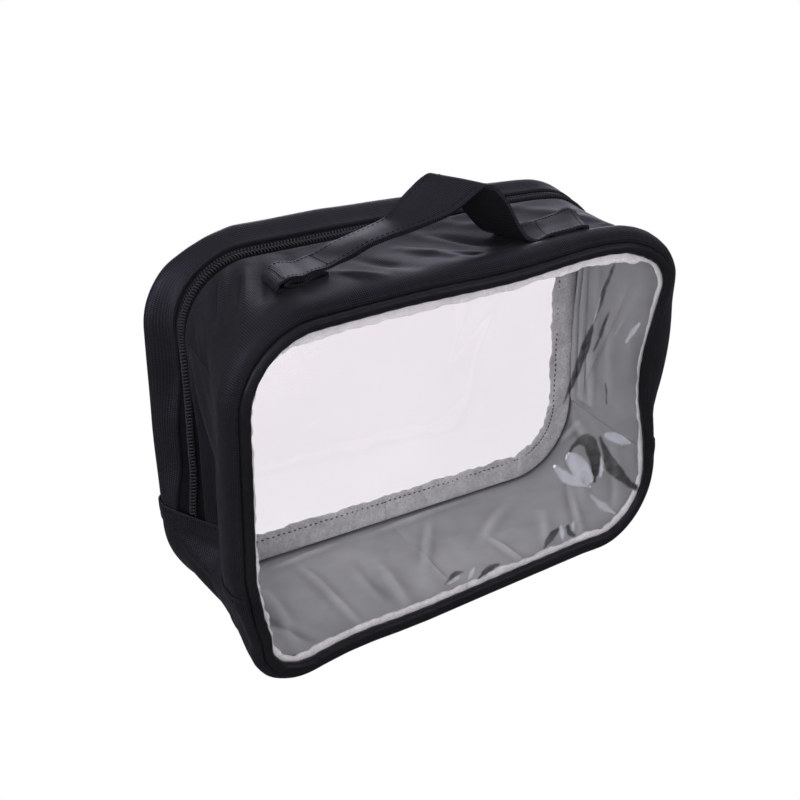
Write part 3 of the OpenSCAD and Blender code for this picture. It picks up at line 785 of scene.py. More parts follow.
# folded hems over the zip ends: a small rolled band on each side
hem_parts = []
for k, sc in enumerate((s_left(WING - 5.2), s_right(WING - 5.2))):
    a = np.linspace(0, 2 * math.pi, 22, endpoint=False)
    hs = sc + (5.0 * np.sign(np.cos(a)) * np.abs(np.cos(a)) ** 0.55)
    ht = -1.05 + 0.62 * np.sign(np.sin(a)) * np.abs(np.sin(a)) ** 0.7
    yy = np.concatenate([np.linspace(-46.4, -38, 18), np.linspace(-37, 46.4, 90)])
    dt = np.interp(yy, [-46.5, -45.4, -43.8, -42, -40, 42, 43.8, 45.4, 46.5], [2.6, 1.5, 0.6, 0.2, 0, 0.2, 0.6, 1.5, 2.6])
    Yg, Sg = np.broadcast_arrays(yy[:, None], hs[None])
    Tg = ht[None] + dt[:, None] - 0.28 * np.exp(-(((Sg - sc) * (1 if k == 0 else -1) + 4.6) / 1.4) ** 2) + 0.18 * np.sin(Yg / 2.1) * (np.abs(Sg - sc) < 2)
    Pg = place(Sg, Yg, Tg, inward(np.full_like(Sg, sc), Yg) * 0.35 + inward(Sg, Yg) * 0.65)
    uvg = np.stack([Sg * 0.01, Yg * 0.01], -1)
    o = fix_normals(tube(f"hem_{'left' if k == 0 else 'right'}", Pg, uvg, M["gusset"]))
    done(o, [], "bag_body")

# ---------------------------------------------------------------- linings
def lining(name, svals, y0, y1, my, nodes, body=None, blend=None, t0=1.9, seed=5, amp=1.0, ends=(True, True)):
    NN = waves(seed)
    yy = np.linspace(y0, y1, my)
    S, Y = np.broadcast_arrays(np.asarray(svals)[:, None], yy[None])
    x, z, nx, nz = base(S)
    edge = np.ones_like(Y)
    if ends[0]:
        edge = edge * sm(y0, y0 + 9, Y)
    if ends[1]:
        edge = edge * (1 - sm(y1 - 9, y1, Y))
    w = 0.9 * (0.6 + 0.4 * NN(S / 28, Y / 17)) + 1.5 * np.maximum(0, NN(S / 9 + 3, Y / 26)) ** 2 + 1.0 * np.abs(NN(S / 15 + 7, Y / 13 + 2))
    T = t0 + edge * amp * np.maximum(w, 0) + 1.0 * sm(12, 17, Y) * (1 - sm(27, 32, Y)) * (z > 50)
    for a, b, c, d, hw, h in LINING_FOLDS:
        sa = np.where(a > 500, a, a)
        r, t = segment(np.where(S > PER / 2, S - PER, S), Y, sa, b, c, d)
        T = T + edge * h * np.exp(-((r / hw) ** 2)) * np.sin(math.pi * np.clip(t, 0.04, 0.96))
    P = place(S, Y, T)
    if "bottom" in name:
        P[..., 2] = np.maximum(P[..., 2], 1.2)
    uv = np.stack([S * 0.01, Y * 0.01], -1)
    o = shell(name, P, 0.25, uv, M["lining"], side=-1)
    # painted shade on the lining: darker in its creases, along the rear binding and towards the front seam
    set_painted_shade(o, np.clip(0.16 - 0.34 * relief(T, 8, 5), 0, 0.5) + 0.45 * sm(38.5, 42, Y) + 0.25 * sm(-40, -44, Y))
    done(fix_normals(o), nodes, body, blend)
    return o


# s (from the middle of the bottom, negative to the left), y
LINING_FOLDS = [
    (-92, -30, -88, 20, 4.0, 3.2),
    (-80, -34, -104, 4, 3.0, -2.0),
    (-30, -36, -24, 10, 3.6, 2.6),
    (-36, -30, -34, 16, 3.0, -1.4),
    (30, -8, 74, 22, 4.0, 2.4),
    (62, -34, 84, 4, 4.0, 2.2),
    (98, -20, 128, 26, 5.0, 3.0),
    (112, -36, 150, -8, 4.0, 2.2),
    (136, 6, 150, 40, 4.0, 2.0),
    (180, -30, 240, -26, 5.0, 2.0),
    (170, 0, 236, 4, 5.0, 1.6),
    (150, 36, 262, 35, 2.2, 3.4),
    (166, 27, 258, 29, 2.0, 3.0),
    (160, 15, 215, 22, 2.6, 2.2),
    (150, 24, 128, 40, 2.4, 2.6),
    (-58, -38, -62, 30, 2.4, 2.4),
    (-8, -14, 22, 30, 2.8, 2.2),
    (44, -38, 40, -4, 2.2, 2.2),
    (86, -36, 112, 14, 2.6, 3.0),
    (-20, 34, 60, 38, 2.6, 1.8),
    (-80, 32, -30, 36, 2.2, 1.6),
]
lining("lining_main", np.linspace(s_right(45.5), s_left(45.5), 380), -44.6, 22.7, 50, ["main_gusset_lining"], "bag_body", t0=2.2, seed=5, ends=(True, False))
lining("lining_bottom", np.concatenate([np.linspace(s_left(49.5), PER, 190), np.linspace(0, s_right(49.5), 190)[1:]]), -44.6, 44.0, 84, ["bottom_gusset_lining"], "bag_body", seed=8, t0=1.6, amp=0.9)
lining("lining_rear", np.linspace(s_right(46), s_left(46), 340), 22.2, 44.6, 22, ["rear_gusset_lining"], None, "flap", t0=2.5, seed=9, amp=0.7, ends=(False, True))

# ---------------------------------------------------------------- zip tapes
for name, ya, yb_, node, body, bl in (
    ("zip_tape_front", MAIN_Y - 6, 21.5, "front_zip_tape", "bag_body", None),
    ("zip_tape_rear", 22.5, STRIP_Y + 6, "rear_zip_tape", None, "flap"),
):
    yy = np.linspace(ya, yb_, 22)
    P, uv = grid(np.linspace(s_right(51), s_left(51), 460), np.full(22, 1.35), yy)
    o = shell(name, P, 0.45, uv, M["tape"], side=1)
    done(fix_normals(o), [node], body, bl)

# ---------------------------------------------------------------- coils: one bent filament each, tooth after tooth
PITCH_T = 1.7
LOOP = np.array(
    [  # across from the outer edge to the middle, out of the tape, along
        (0.15, 0.25, 0.00), (0.10, 0.95, 0.03), (0.55, 1.55, 0.10), (1.5, 1.85, 0.28), (2.6, 1.80, 0.48),
        (3.4, 1.50, 0.60), (3.72, 1.00, 0.64), (3.40, 0.50, 0.66), (2.5, 0.30, 0.72), (1.4, 0.22, 0.84), (0.6, 0.16, 0.94),
    ]
)
for name, edge, sgn, node, body, bl, ph in (
    ("zip_coil_front", 19.0, 1, "front_zip_coil", "bag_body", None, 0.0),
    ("zip_coil_rear", 25.0, -1, "rear_zip_coil", None, "flap", 0.5),
):
    sa, sb_ = s_right(55.2), s_left(55.2)
    n = int((sb_ - sa) / PITCH_T)
    i = np.repeat(np.arange(n), len(LOOP))
    L = np.tile(LOOP, (n, 1))
    S = sa + (i + L[:, 2] + ph) * PITCH_T
    Y = edge + sgn * L[:, 0] * 0.9
    T = 1.15 - L[:, 1]
    sink = inward(S, np.full_like(S, 22.0))
    C = place(S, Y, T, sink)
    Tn, _, _ = frames(C)
    up = np.gradient(place(S, Y, T - 1.0, sink) - C, axis=0) * 0 + (place(S, Y, T - 1.0, sink) - C)
    o = wire(name, C, 0.44, M["coil"], up=np.array([0.0, 0.3, 0.0]) + np.cross(Tn, np.array([0.3, 1.0, 0.2])), sides=6)
    done(o, [node], body, bl)

# ---------------------------------------------------------------- piping
def ring_tube(name, tc, yc, rt, ry, mat, m=18, wob=0.12, seed=2, n=620):
    s = np.linspace(0, PER, n, endpoint=False)
    a = np.linspace(0, 2 * math.pi, m, endpoint=False)
    NN = waves(seed)
    r = 1 + wob * 0.35 * NN(s / 6, s * 0)[:, None] + 0.03 * np.sin(s / 1.6)[:, None]
    T = tc + 0.25 * NN(s / 17, s * 0 + 2)[:, None] + rt * r * np.cos(a)[None]
    Y = yc + ry * r * np.sin(a)[None]
    S, T, Y = np.broadcast_arrays(s[:, None], T, Y)
    P = place(S, Y, T, 0.0)
    uv = np.stack([S * 0.01, np.broadcast_to(a[None] * rt * 0.01, S.shape)], -1)
    return fix_normals(tube(name, P, uv, mat, True))


o = ring_tube("piping_front", 7.5, -48.0, 2.65, 2.35, M["piping"], seed=2)
done(o, ["front_piping_cover", "front_piping_cord"], "bag_body")
o = ring_tube("piping_rear", 7.5, 48.0, 2.65, 2.35, M["piping"], seed=4)
done(o, ["rear_piping_cover_lower", "rear_piping_cover_flap", "rear_piping_cord_lower", "rear_piping_cord_flap"], None, "flap")

# ---------------------------------------------------------------- seam bindings
def binding(name, t0, y0, t1, y1, th, mat, seed, n=900, ragged=0.35, pucker=0.35, pitch=3.2, top=0.0):
    """a folded tape round the seam allowance, from its outer edge (t0, y0) to its folded inner edge (t1, y1)."""
    s = np.linspace(0, PER, n, endpoint=False)
    NN = waves(seed)
    k = np.linspace(0, 2 * math.pi, 24, endpoint=False)
    u = 0.5 - 0.5 * np.sign(np.cos(k)) * np.abs(np.cos(k)) ** 0.5
    v = 0.5 * np.sign(np.sin(k)) * np.abs(np.sin(k)) ** 0.6
    S, U = np.broadcast_arrays(s[:, None], u[None])
    V = np.broadcast_to(v[None], S.shape)
    rag = ragged * (NN(S / 4.2, S * 0) + 0.6 * NN(S / 1.3 + 9, S * 0))
    T = t0 + (t1 + rag + top * sm(285, 312, S) * (1 - sm(503, 530, S)) - t0) * U
    dirn = np.sign(y0)
    seam = np.exp(-(((U - 0.80) / 0.08) ** 2))
    bump = pucker * NN(S / 7, U * 3) * np.sin(math.pi * U) - 0.28 * seam * (0.6 + 0.4 * np.sin(2 * math.pi * S / pitch))
    Y = y0 + (y1 - y0) * U + V * th * (1 + 0.15 * NN(S / 5, U * 2 + 5)) - dirn * (bump * (V * dirn < 0))
    P = place(S, Y, T, 0.0)
    if t0 < 5:
        P[..., 2] = np.maximum(P[..., 2], 1.9)
    uv = np.stack([S * 0.01, U * (t1 - t0) * 0.01 + V * 0.02], -1)
    return fix_normals(tube(name, P, uv, mat, True)), (t0 + (t1 - t0) * 0.80, y0 + (y1 - y0) * 0.80)


# the front binding wears the paler lit copy of the felt, painted light
o, _ = binding("binding_front", 6.2, -45.6, 12.3, -45.2, 1.6, M["binding_front"], 41, ragged=0.75, pucker=0.35, top=3.4)
done(o, ["front_seam_binding"], "bag_body")
o, row = binding("binding_rear", 2.6, 42.7, 16.4, 45.4, 2.2, M["binding"], 43, ragged=1.0, pucker=1.6)
done(o, ["rear_seam_binding_lower", "rear_seam_binding_flap"], None, "flap")


# ---------------------------------------------------------------- rows of stitches
def row_of(name, s, y, t, length, r, mat, nodes, body=None, blend=None, sink=None, out=(0, 1)):
    """stitches centred at s, y, t. out: the way they face, as (inward move, y)."""
    s = np.asarray(s, float)
    C = place(s, y, t, sink)
    e = 0.6
    Tn = place(s + e, y, t, sink) - place(s - e, y, t, sink)
    U = place(s, np.asarray(y) + out[1], np.asarray(t) + out[0], sink) - C
    U /= np.maximum(np.linalg.norm(U, axis=1, keepdims=True), 1e-9)
    return done(stitches(name, C, Tn, U, length, r, mat), nodes, body, blend)


rng = np.random.RandomState(7)
st = np.arange(0, PER - 1, 3.2)
jit = rng.uniform(-0.25, 0.25, len(st))
row_of("stitches_binding_rear", st, row[1] - 1.12 + 0.0 * st, row[0] + jit, 1.5, 0.42, M["thread_grey"], ["rear_binding_thread_lower", "rear_binding_thread_flap"], None, "flap", sink=0.0, out=(0, -1))
row_of("stitches_binding_front", st, -45.3 + 1.0 + 0 * st, 11.2 + jit, 2.1, 0.2, M["thread_grey"], ["front_binding_thread"], "bag_body", sink=0.0, out=(0, 1))
st = np.arange(s_right(57), s_left(57), 2.9)
row_of("stitches_zip_front", st, MAIN_Y - 1.9 + 0 * st, -0.05 + 0 * st, 2.1, 0.2, M["thread"], ["front_zip_thread"], "bag_body", out=(-1, 0))
row_of("stitches_zip_rear", st, STRIP_Y + 2.0 + 0 * st, -0.05 + 0 * st, 2.1, 0.2, M["thread"], ["rear_zip_thread"], None, "flap", out=(-1, 0))
# hem rows run through the depth
yy = np.arange(-43, 44, 2.9)
C, Tn, U = [], [], []
for sc in (s_left(WING - 2.4), s_right(WING - 2.4)):
    a = place(np.full_like(yy, sc), yy, -1.62)
    C.append(a)
    Tn.append(place(np.full_like(yy, sc), yy + 0.5, -1.62) - place(np.full_like(yy, sc), yy - 0.5, -1.62))
    U.append(place(np.full_like(yy, sc), yy, -2.62) - a)
o = stitches("stitches_hem", np.concatenate(C), np.concatenate(Tn), np.concatenate(U), 2.1, 0.22, M["thread"])
done(o, ["hem_thread"], "bag_body")

# a few loose thread ends on the rear binding
loose = []
for k, (s_, t_0, bend) in enumerate(((-62, 17.0, 1), (-22, 15.8, -1), (38, 16.5, 1), (84, 15.5, 1), (150, 16.2, -1))):
    u = np.linspace(0, 1, 9)
    S = np.mod(s_ + bend * 2.6 * u**1.6, PER)
    T = t_0 + 3.4 * u - 1.2 * u**2
    C = place(S, 44.6 - 1.6 * np.sin(u * 2.4), T, 0.0)
    o = wire(f"loose_thread_{k}", C, 0.09, M["thread_grey"], up=(0.3, 1, 0.1), sides=5)
    done(o, [], "bag_body" if (s_ < 120) else None, None if s_ < 120 else "flap")

# ---------------------------------------------------------------- clear windows
def spline(pts, n):
    """smooth curve through the points, Catmull-Rom by chord length."""
    p = np.asarray(pts, float)
    d = np.concatenate([[0], np.cumsum(np.linalg.norm(np.diff(p, axis=0), axis=1) + 1e-6)])
    p = np.concatenate([2 * p[:1] - p[1:2], p, 2 * p[-1:] - p[-2:-1]])
    d = np.concatenate([[2 * d[0] - d[1]], d, [2 * d[-1] - d[-2]]])
    q = np.linspace(d[1], d[-2], n)
    k = np.clip(np.searchsorted(d, q, side="right") - 1, 1, len(d) - 3)
    out = np.zeros((n, p.shape[1]))
    for j in range(n):
        i = k[j]
        t0, t1, t2, t3, t = d[i - 1], d[i], d[i + 1], d[i + 2], q[j]
        A1 = (t1 - t) / (t1 - t0) * p[i - 1] + (t - t0) / (t1 - t0) * p[i]
        A2 = (t2 - t) / (t2 - t1) * p[i] + (t - t1) / (t2 - t1) * p[i + 1]
        A3 = (t3 - t) / (t3 - t2) * p[i + 1] + (t - t2) / (t3 - t2) * p[i + 2]
        B1 = (t2 - t) / (t2 - t0) * A1 + (t - t0) / (t2 - t0) * A2
        B2 = (t3 - t) / (t3 - t1) * A2 + (t - t1) / (t3 - t1) * A3
        out[j] = (t2 - t) / (t2 - t1) * B1 + (t - t1) / (t2 - t1) * B2
    return out


def window(name, yc, creases, bulge, seed, nodes, body=None, blend=None, amp=0.5, nx_=380, nz_=290, folds=()):
    t = 6.6
    hw, z0, z1, r = HW - t, t, HT - t, CR - t
    v = np.linspace(-1, 1, nz_)
    v = np.sin(v * math.pi / 2) * 0.35 + v * 0.65
    Z = (z0 + z1) / 2 + (z1 - z0) / 2 * v
    dz = np.maximum(0, np.maximum(Z - (z1 - r), (z0 + r) - Z))
    half = hw - r + np.sqrt(np.maximum(r * r - dz * dz, 0))
    u = np.linspace(-1, 1, nx_)
    X = half[:, None] * u[None]
    Zg = np.broadcast_to(Z[:, None], X.shape)
    inside = np.minimum(np.minimum(hw - np.abs(X), np.minimum(Zg - z0, z1 - Zg)), 60)
    dcx, dcz = np.abs(X) - (hw - r), np.maximum(Zg - (z1 - r), (z0 + r) - Zg)
    corner = (dcx > 0) & (dcz > 0)
    inside = np.where(corner, r - np.hypot(np.maximum(dcx, 0), np.maximum(dcz, 0)), inside)
    fade = sm(0, 14, inside)
    NN = waves(seed)
    # slack between the seams, long shallow waves and sharper creases
    Yd = bulge * (1 - np.exp(-np.maximum(inside, 0) / 26)) + amp * fade * (NN(X / 34, Zg / 30) + 0.35 * NN(X / 13 + 4, Zg / 15))
    # short puckers all round the seam
    ang = np.arctan2(Zg - 91, X)
    Yd = Yd + 0.28 * np.sin(ang * 58 + 2 * np.sin(ang * 9)) * np.exp(-np.maximum(inside, 0) / 4.5) * sm(0, 2.5, inside)
    for a, b, c, d, w1, h, sharp in creases:
        rr, tt = segment(X, Zg, a, b, c, d)
        shape = np.exp(-((rr / w1) ** 2)) if sharp < 1 else np.exp(-np.abs(rr / w1) ** 1.15)
        Yd = Yd + h * shape * np.sin(math.pi * np.clip(tt, 0.02, 0.98)) ** 0.7 * sm(0, 5, inside)
    sgn = -1 if yc < 0 else 1
    ring = FRONT_RING if yc < 0 else REAR_RING
    cz = np.where(Zg > HT / 2, HT - CR, CR)
    in_corner = (np.abs(X) > LA) & (np.abs(Zg - HT / 2) > HT / 2 - CR)
    ang_s = np.arctan2(Zg - cz, X - np.sign(X) * LA)
    corner_s = np.select([(X > 0) & (Zg < HT / 2), (X > 0), (Zg > HT / 2)], [BR[1] + (ang_s + math.pi / 2) * CR, BR[3] + ang_s * CR, BR[5] + (ang_s - math.pi / 2) * CR], BR[7] + (np.mod(ang_s, 2 * math.pi) - math.pi) * CR)
    side = np.argmin(np.stack([HW - X, HT - Zg, HW + X, Zg]), 0)
    near_s = np.where(in_corner, corner_s, np.select([side == 0, side == 1, side == 2], [s_right(Zg), s_top(X), s_left(Zg)], np.mod(X, PER)))
    _, _, n_x, n_z = base(near_s)
    pull = ring(near_s) * np.exp(-((np.maximum(inside, 0) / 20) ** 2))
    # where the sheet is folded hard a painted dark reflection darkens it, and its flat facets are tilted to catch the
    # light and get a painted highlight as well
    painted_fold_light = np.zeros((2,) + X.shape)
    edge_n = waves(seed + 5, 9, 0.5, 2.2)
    for which, pts_, wid in folds:
        q = spline(np.array([(a, b, c) for (a, b), c in zip(pts_, wid)], float), 60)
        best = np.full(X.shape, -9.0)
        for i in range(len(q) - 1):
            r, tt = segment(X, Zg, q[i, 0], q[i, 1], q[i + 1, 0], q[i + 1, 1])
            best = np.maximum(best, q[i, 2] * (1 - tt) + q[i + 1, 2] * tt - r)
        best = best + 0.5 * edge_n(X / 2.1, Zg / 2.1) + 0.35 * edge_n(X / 0.8 + 5, Zg / 0.8)
        painted_fold_light[which] = np.maximum(painted_fold_light[which], sm(-0.7, 0.7, best) * (0.8 + 0.2 * edge_n(X / 5, Zg / 5 + 3)))
        if which == 1:
            xc, zc = np.array(pts_).mean(0)
            Yd = Yd + sm(-1.2, 0.6, best) * (0.10 * (X - xc) - 0.21 * (Zg - zc))
        if which == 0:
            painted_fold_light[1] = painted_fold_light[1] * (1 - sm(-0.45, 0.45, best))
    P = lean(np.stack([X - n_x * pull, yc + sgn * Yd, Zg - n_z * pull], -1))
    uv = np.stack([X * 0.01, Zg * 0.01], -1)
    o = shell(name, P, 0.3, uv, M["clear"], side=1 if yc > 0 else -1)
    # painted dark reflections in the first channel, painted highlights in the second
    col = np.zeros((X.size * 2, 4), np.float32)
    col[:, 0], col[:, 1], col[:, 3] = np.tile(painted_fold_light[0].ravel(), 2), np.tile(painted_fold_light[1].ravel(), 2), 1
    at = o.data.attributes.new("fold_painted_light", "FLOAT_COLOR", "POINT")
    at.data.foreach_set("color", col.ravel())
    done(fix_normals(o), nodes, body, blend)
    return o


FRONT_CREASES = [  # x, z, x, z, half width, height outward, sharp
    (66, 96, 99, 158, 2.2, 1.5, 1),
    (72, 92, 104, 150, 3.2, -1.1, 0),
    (88, 118, 103, 140, 1.6, 0.9, 1),
    (78, 92, 96, 76, 2.4, 1.0, 0),
    (96, 76, 118, 74, 2.0, 0.9, 0),
    (78, 66, 100, 48, 6.0, 2.4, 0),
    (86, 74, 96, 40, 3.2, -2.2, 0),
    (98, 66, 116, 44, 3.4, 2.2, 0),
    (104, 70, 108, 50, 2.2, -1.5, 1),
    (64, 60, 84, 52, 3.0, 1.2, 0),
    (20, 14, 60, 17, 2.6, 1.4, 0),
    (30, 18, 36, 12, 1.6, -1.0, 0),
    (60, 26, 96, 18, 2.8, 1.5, 0),
    (74, 24, 78, 16, 1.5, -1.2, 0),
    (-70, 66, -62, 44, 2.6, 0.8, 0),
    (-40, 60, -30, 40, 2.4, 0.8, 0),
    (-100, 60, -40, 96, 4.0, 0.5, 0),
    (-92, 128, 30, 150, 5.0, 0.45, 0),
    (-20, 120, 60, 136, 5.0, 0.4, 0),
]
FRONT_PAINTED_FOLD_MARKS = [  # 1: a tilted facet with a painted highlight, 0: a hard fold with a painted dark reflection; x, z along it; half widths
    (1, [(66, 63.5), (72, 57), (79, 48)], [2.6, 5.0, 3.2]),
    (1, [(56, 61), (64.5, 52), (80, 43)], [0.8, 2.8, 0.9]),
    (1, [(88.4, 57), (88.8, 51), (88.6, 45.5)], [0.9, 2.3, 1.1]),
    (1, [(93, 69), (101, 65), (110, 60)], [0.8, 2.6, 0.9]),
    (1, [(104, 120), (107.5, 124), (111, 127)], [0.8, 2.2, 0.9]),
    (1, [(84, 34), (92, 26), (100, 20)], [0.5, 1.6, 0.5]),
    (1, [(72.6, 137), (76, 148), (79, 156)], [0.3, 0.6, 0.3]),
    (1, [(62.4, 23), (63.4, 18.5), (64, 14.5)], [0.8, 1.4, 0.9]),
    (1, [(69.8, 23), (71, 19)], [0.7, 0.9]),
    (1, [(0.5, 15.5), (2, 17.5), (3.5, 20)], [0.7, 1.1, 0.6]),
    (1, [(-12, 17), (-6, 18.5)], [0.6, 1.0]),
    (1, [(11, 13.2), (13.5, 16.8)], [0.8, 1.1]),
    (0, [(56.5, 97), (60.5, 104.5), (65, 114), (69, 124), (71.2, 131.5), (73.5, 139)], [0.2, 1.6, 2.8, 3.2, 2.4, 0.4]),
    (0, [(72.5, 134), (75.5, 143), (78, 151), (79.2, 156)], [0.2, 0.8, 0.9, 0.15]),
    (0, [(76.5, 150), (79.5, 157), (82, 163.5), (84.4, 169.5)], [0.15, 1.2, 0.9, 0.15]),
    (0, [(76.5, 122), (79.5, 128), (81.5, 134), (84.5, 142)], [0.15, 0.9, 1.3, 0.15]),
    (0, [(62.5, 65), (68, 71), (74, 72.5), (79.5, 68.5), (83, 61), (84.6, 52), (85.2, 43.5)], [0.3, 1.6, 2.8, 4.2, 4.4, 3.2, 0.6]),
    (0, [(88.4, 69), (92, 60), (96, 51), (102, 43), (109.5, 34.5), (117, 27.5)], [0.5, 2.0, 3.6, 3.4, 1.8, 1.4]),
    (0, [(50, 15.2), (55.5, 20), (60, 22.4)], [0.6, 2.3, 1.2]),
    (0, [(66.4, 22.6), (68, 18.5), (72, 14.5)], [1.0, 1.5, 0.6]),
    (0, [(-14.5, 18), (-9, 21.2), (-3.5, 20.8)], [0.5, 1.6, 0.7]),
    (0, [(6.5, 13), (12, 15.6), (20, 16.2)], [0.4, 1.7, 0.5]),
    (0, [(92, 100), (93.5, 94), (94, 88)], [0.2, 0.5, 0.2]),
]
window("window_front", YF + 0.6, FRONT_CREASES, 1.2, 51, ["front_window"], "bag_body", folds=FRONT_PAINTED_FOLD_MARKS)
REAR_CREASES = [
    (-80, 60, 40, 80, 6.0, 0.5, 0),
    (-60, 110, 70, 128, 7.0, 0.5, 0),
    (30, 60, 100, 150, 6.0, 0.6, 0),
]
window("window_rear", YR - 0.6, REAR_CREASES, 1.0, 57, ["rear_window_lower", "rear_window_flap"], None, "flap", amp=0.4, nx_=220, nz_=180)


# ---------------------------------------------------------------- strap handle
# the strap's two edges: x, y, height; back edge then front edge. Heights of the tabs are over the gusset, of the loop over the table.
STRAP = [
    # folded inside the left tab, from its cut end
    (-70, -5.5, 3.9, -71, -24.0, 3.9, 0), (-80, -7.5, 3.9, -81, -26.5, 3.9, 0), (-88, -9.3, 3.9, -90, -28.8, 3.9, 0),
    (-89.6, -9.6, 3.1, -91.6, -29.2, 3.1, 0), (-88, -9.3, 2.35, -90, -28.8, 2.35, 0),
    (-78, -7.0, 2.35, -79, -26.0, 2.35, 0), (-68, -4.9, 2.35, -68, -23.2, 2.35, 0),
    (-66.4, -4.6, 1.6, -66.4, -22.9, 1.6, 0), (-68, -4.9, 0.85, -68, -23.2, 0.85, 0),
    (-78, -7.0, 0.85, -79, -26.0, 0.85, 0), (-90, -9.8, 0.9, -92.5, -29.6, 0.9, 0),
    (-93.2, -10.6, 2.6, -96.2, -30.6, 2.4, 0), (-93.0, -10.5, 4.6, -95.6, -30.3, 4.3, 0), (-90, -9.8, 5.5, -92, -29.3, 5.4, 0),
    (-78, -7.0, 5.5, -79, -26.0, 5.3, 0), (-66, -4.4, 5.1, -65, -22.6, 4.6, 0.15),
    # the loop
    (-54, -3.2, 186.6, -53, -21.2, 188.0, 1), (-43, -2.7, 188.4, -43.5, -21.5, 191.2, 1), (-33, -2.7, 190.6, -33, -22.6, 193.4, 1),
    (-25.5, -3.2, 193.2, -23, -23.6, 195.0, 1), (-19.5, -4.4, 199.5, -13, -24.6, 197.0, 1), (-14.0, -6.0, 205.5, -3.5, -25.6, 199.4, 1),
    (-8.5, -7.8, 210.6, 4.0, -26.4, 203.4, 1), (-5.0, -8.6, 211.9, 9.0, -27.2, 207.0, 1), (-1.0, -9.2, 210.6, 13.0, -28.0, 209.3, 1),
    (3.0, -10.0, 206.4, 17.2, -28.6, 208.9, 1), (8.0, -10.8, 200.4, 21.2, -29.1, 205.8, 1), (13.0, -11.5, 194.6, 25.4, -29.5, 201.0, 1),
    (18.0, -12.2, 188.8, 29.0, -29.9, 195.2, 1), (22.6, -12.8, 184.2, 32.4, -31.0, 189.0, 1), (27.2, -13.3, 181.6, 36.2, -33.6, 183.4, 0.7),
    (33.0, -13.7, 1.0, 40.0, -35.6, 1.2, 0), (42.0, -14.0, 1.2, 42.5, -36.6, 1.3, 0),
    # and the right tab
    (54.5, -13.8, 2.3, 46.5, -36.8, 2.3, 0), (68.0, -11.6, 2.5, 58.5, -37.0, 2.4, 0), (82.0, -9.2, 2.5, 70.0, -37.2, 2.4, 0),
    (84.6, -8.8, 1.75, 72.2, -37.2, 1.7, 0), (82.0, -9.2, 0.9, 70.0, -37.2, 0.9, 0), (70.0, -11.2, 0.85, 60.0, -37.0, 0.85, 0), (58.0, -13.2, 0.85, 50.0, -36.9, 0.85, 0),
]
pts = np.array(STRAP, float)
sunk0, sunk1 = inward(s_top(pts[:, 0]), pts[:, 1]), inward(s_top(pts[:, 3]), pts[:, 4])
loose = pts[:, 6] > 0.5
t0_, t1_ = np.where(loose, HT - pts[:, 2], sunk0 - pts[:, 2]), np.where(loose, HT - pts[:, 5], sunk1 - pts[:, 5])
sp = spline(np.stack([pts[:, 0], pts[:, 1], t0_, pts[:, 3], pts[:, 4], t1_, pts[:, 6], sunk0, sunk1, np.where(loose, 0, pts[:, 2])], -1), 420)
wv = np.linspace(0, 1, 21)
G = sp[:, None, 0:3] * (1 - wv[None, :, None]) + sp[:, None, 3:6] * wv[None, :, None]
own = np.clip(1 - sp[:, 6], 0, 1)[:, None]
even = sp[:, None, 7] * (1 - wv) + sp[:, None, 8] * wv
G[..., 2] += own * (inward(s_top(G[..., 0]), G[..., 1]) - even)
G[..., 2] -= (1 - own) * 0.7 * np.sin(math.pi * wv)[None]


def on_top(x, y, t):
    return place(s_top(x), y, t, 0.0)


P = on_top(G[..., 0], G[..., 1], G[..., 2])
TH = 1.25 + 0.95 * sm(0.0, 1.0, sp[:, 6])
N = normals(P)
P0 = P + N * TH[:, None, None] / 2
uvs = np.stack(np.broadcast_arrays(np.linspace(0, 3.3, 420)[:, None], wv[None] * 0.21), -1)
o = shell("handle_strap", P0, TH[:, None, None], uvs, M["strap"], side=1)
bev = o.modifiers.new("round", "BEVEL")
bev.width, bev.segments, bev.limit_method, bev.angle_limit = 0.0004, 2, "ANGLE", math.radians(50)
done(fix_normals(o), ["handle_loop", "handle_tab_left", "handle_tab_right"], None, "handle")

def tab_face(q, w):
    """point on the strap's upper face: q along it (index), w across it."""
    i = np.clip(np.asarray(q, float), 0, 418.999)
    j = np.clip(np.asarray(w, float) * 20, 0, 19.999)
    i0, j0 = i.astype(int), j.astype(int)
    a, b = (i - i0)[..., None], (j - j0)[..., None]
    def f(A):
        return A[i0, j0] * (1 - a) * (1 - b) + A[i0 + 1, j0] * a * (1 - b) + A[i0, j0 + 1] * (1 - a) * b + A[i0 + 1, j0 + 1] * a * b
    return f(P), f(N)


def index_at(x, least, part):
    """place along the strap where its top layer passes x."""
    ok = np.where((HGT > least) & part)[0]
    return ok[np.argmin(np.abs(sp[ok, 0] - x))]


idx = np.arange(420)
left_part, right_part = idx < 250, idx > 250
HGT = sp[:, 9]
boxes_C, boxes_T, boxes_N = [], [], []


def line_stitch(q0, w0, q1, w1, pitch=2.4):
    u = np.linspace(0, 1, 60)
    Cc, Nn = tab_face(q0 + (q1 - q0) * u, w0 + (w1 - w0) * u)
    L = np.concatenate([[0], np.cumsum(np.linalg.norm(np.diff(Cc, axis=0), axis=1))])
    at = np.arange(pitch / 2, L[-1], pitch)
    c = np.stack([np.interp(at, L, Cc[:, k]) for k in range(3)], -1)
    n = np.stack([np.interp(at, L, Nn[:, k]) for k in range(3)], -1)
    tt = np.stack([np.interp(np.minimum(at + 0.5, L[-1]), L, Cc[:, k]) - np.interp(np.maximum(at - 0.5, 0), L, Cc[:, k]) for k in range(3)], -1)
    th = np.interp(np.interp(at, L, q0 + (q1 - q0) * u), np.arange(420), TH)
    return c + n * SIGN * (th[:, None] / 2 + 0.02), tt, n


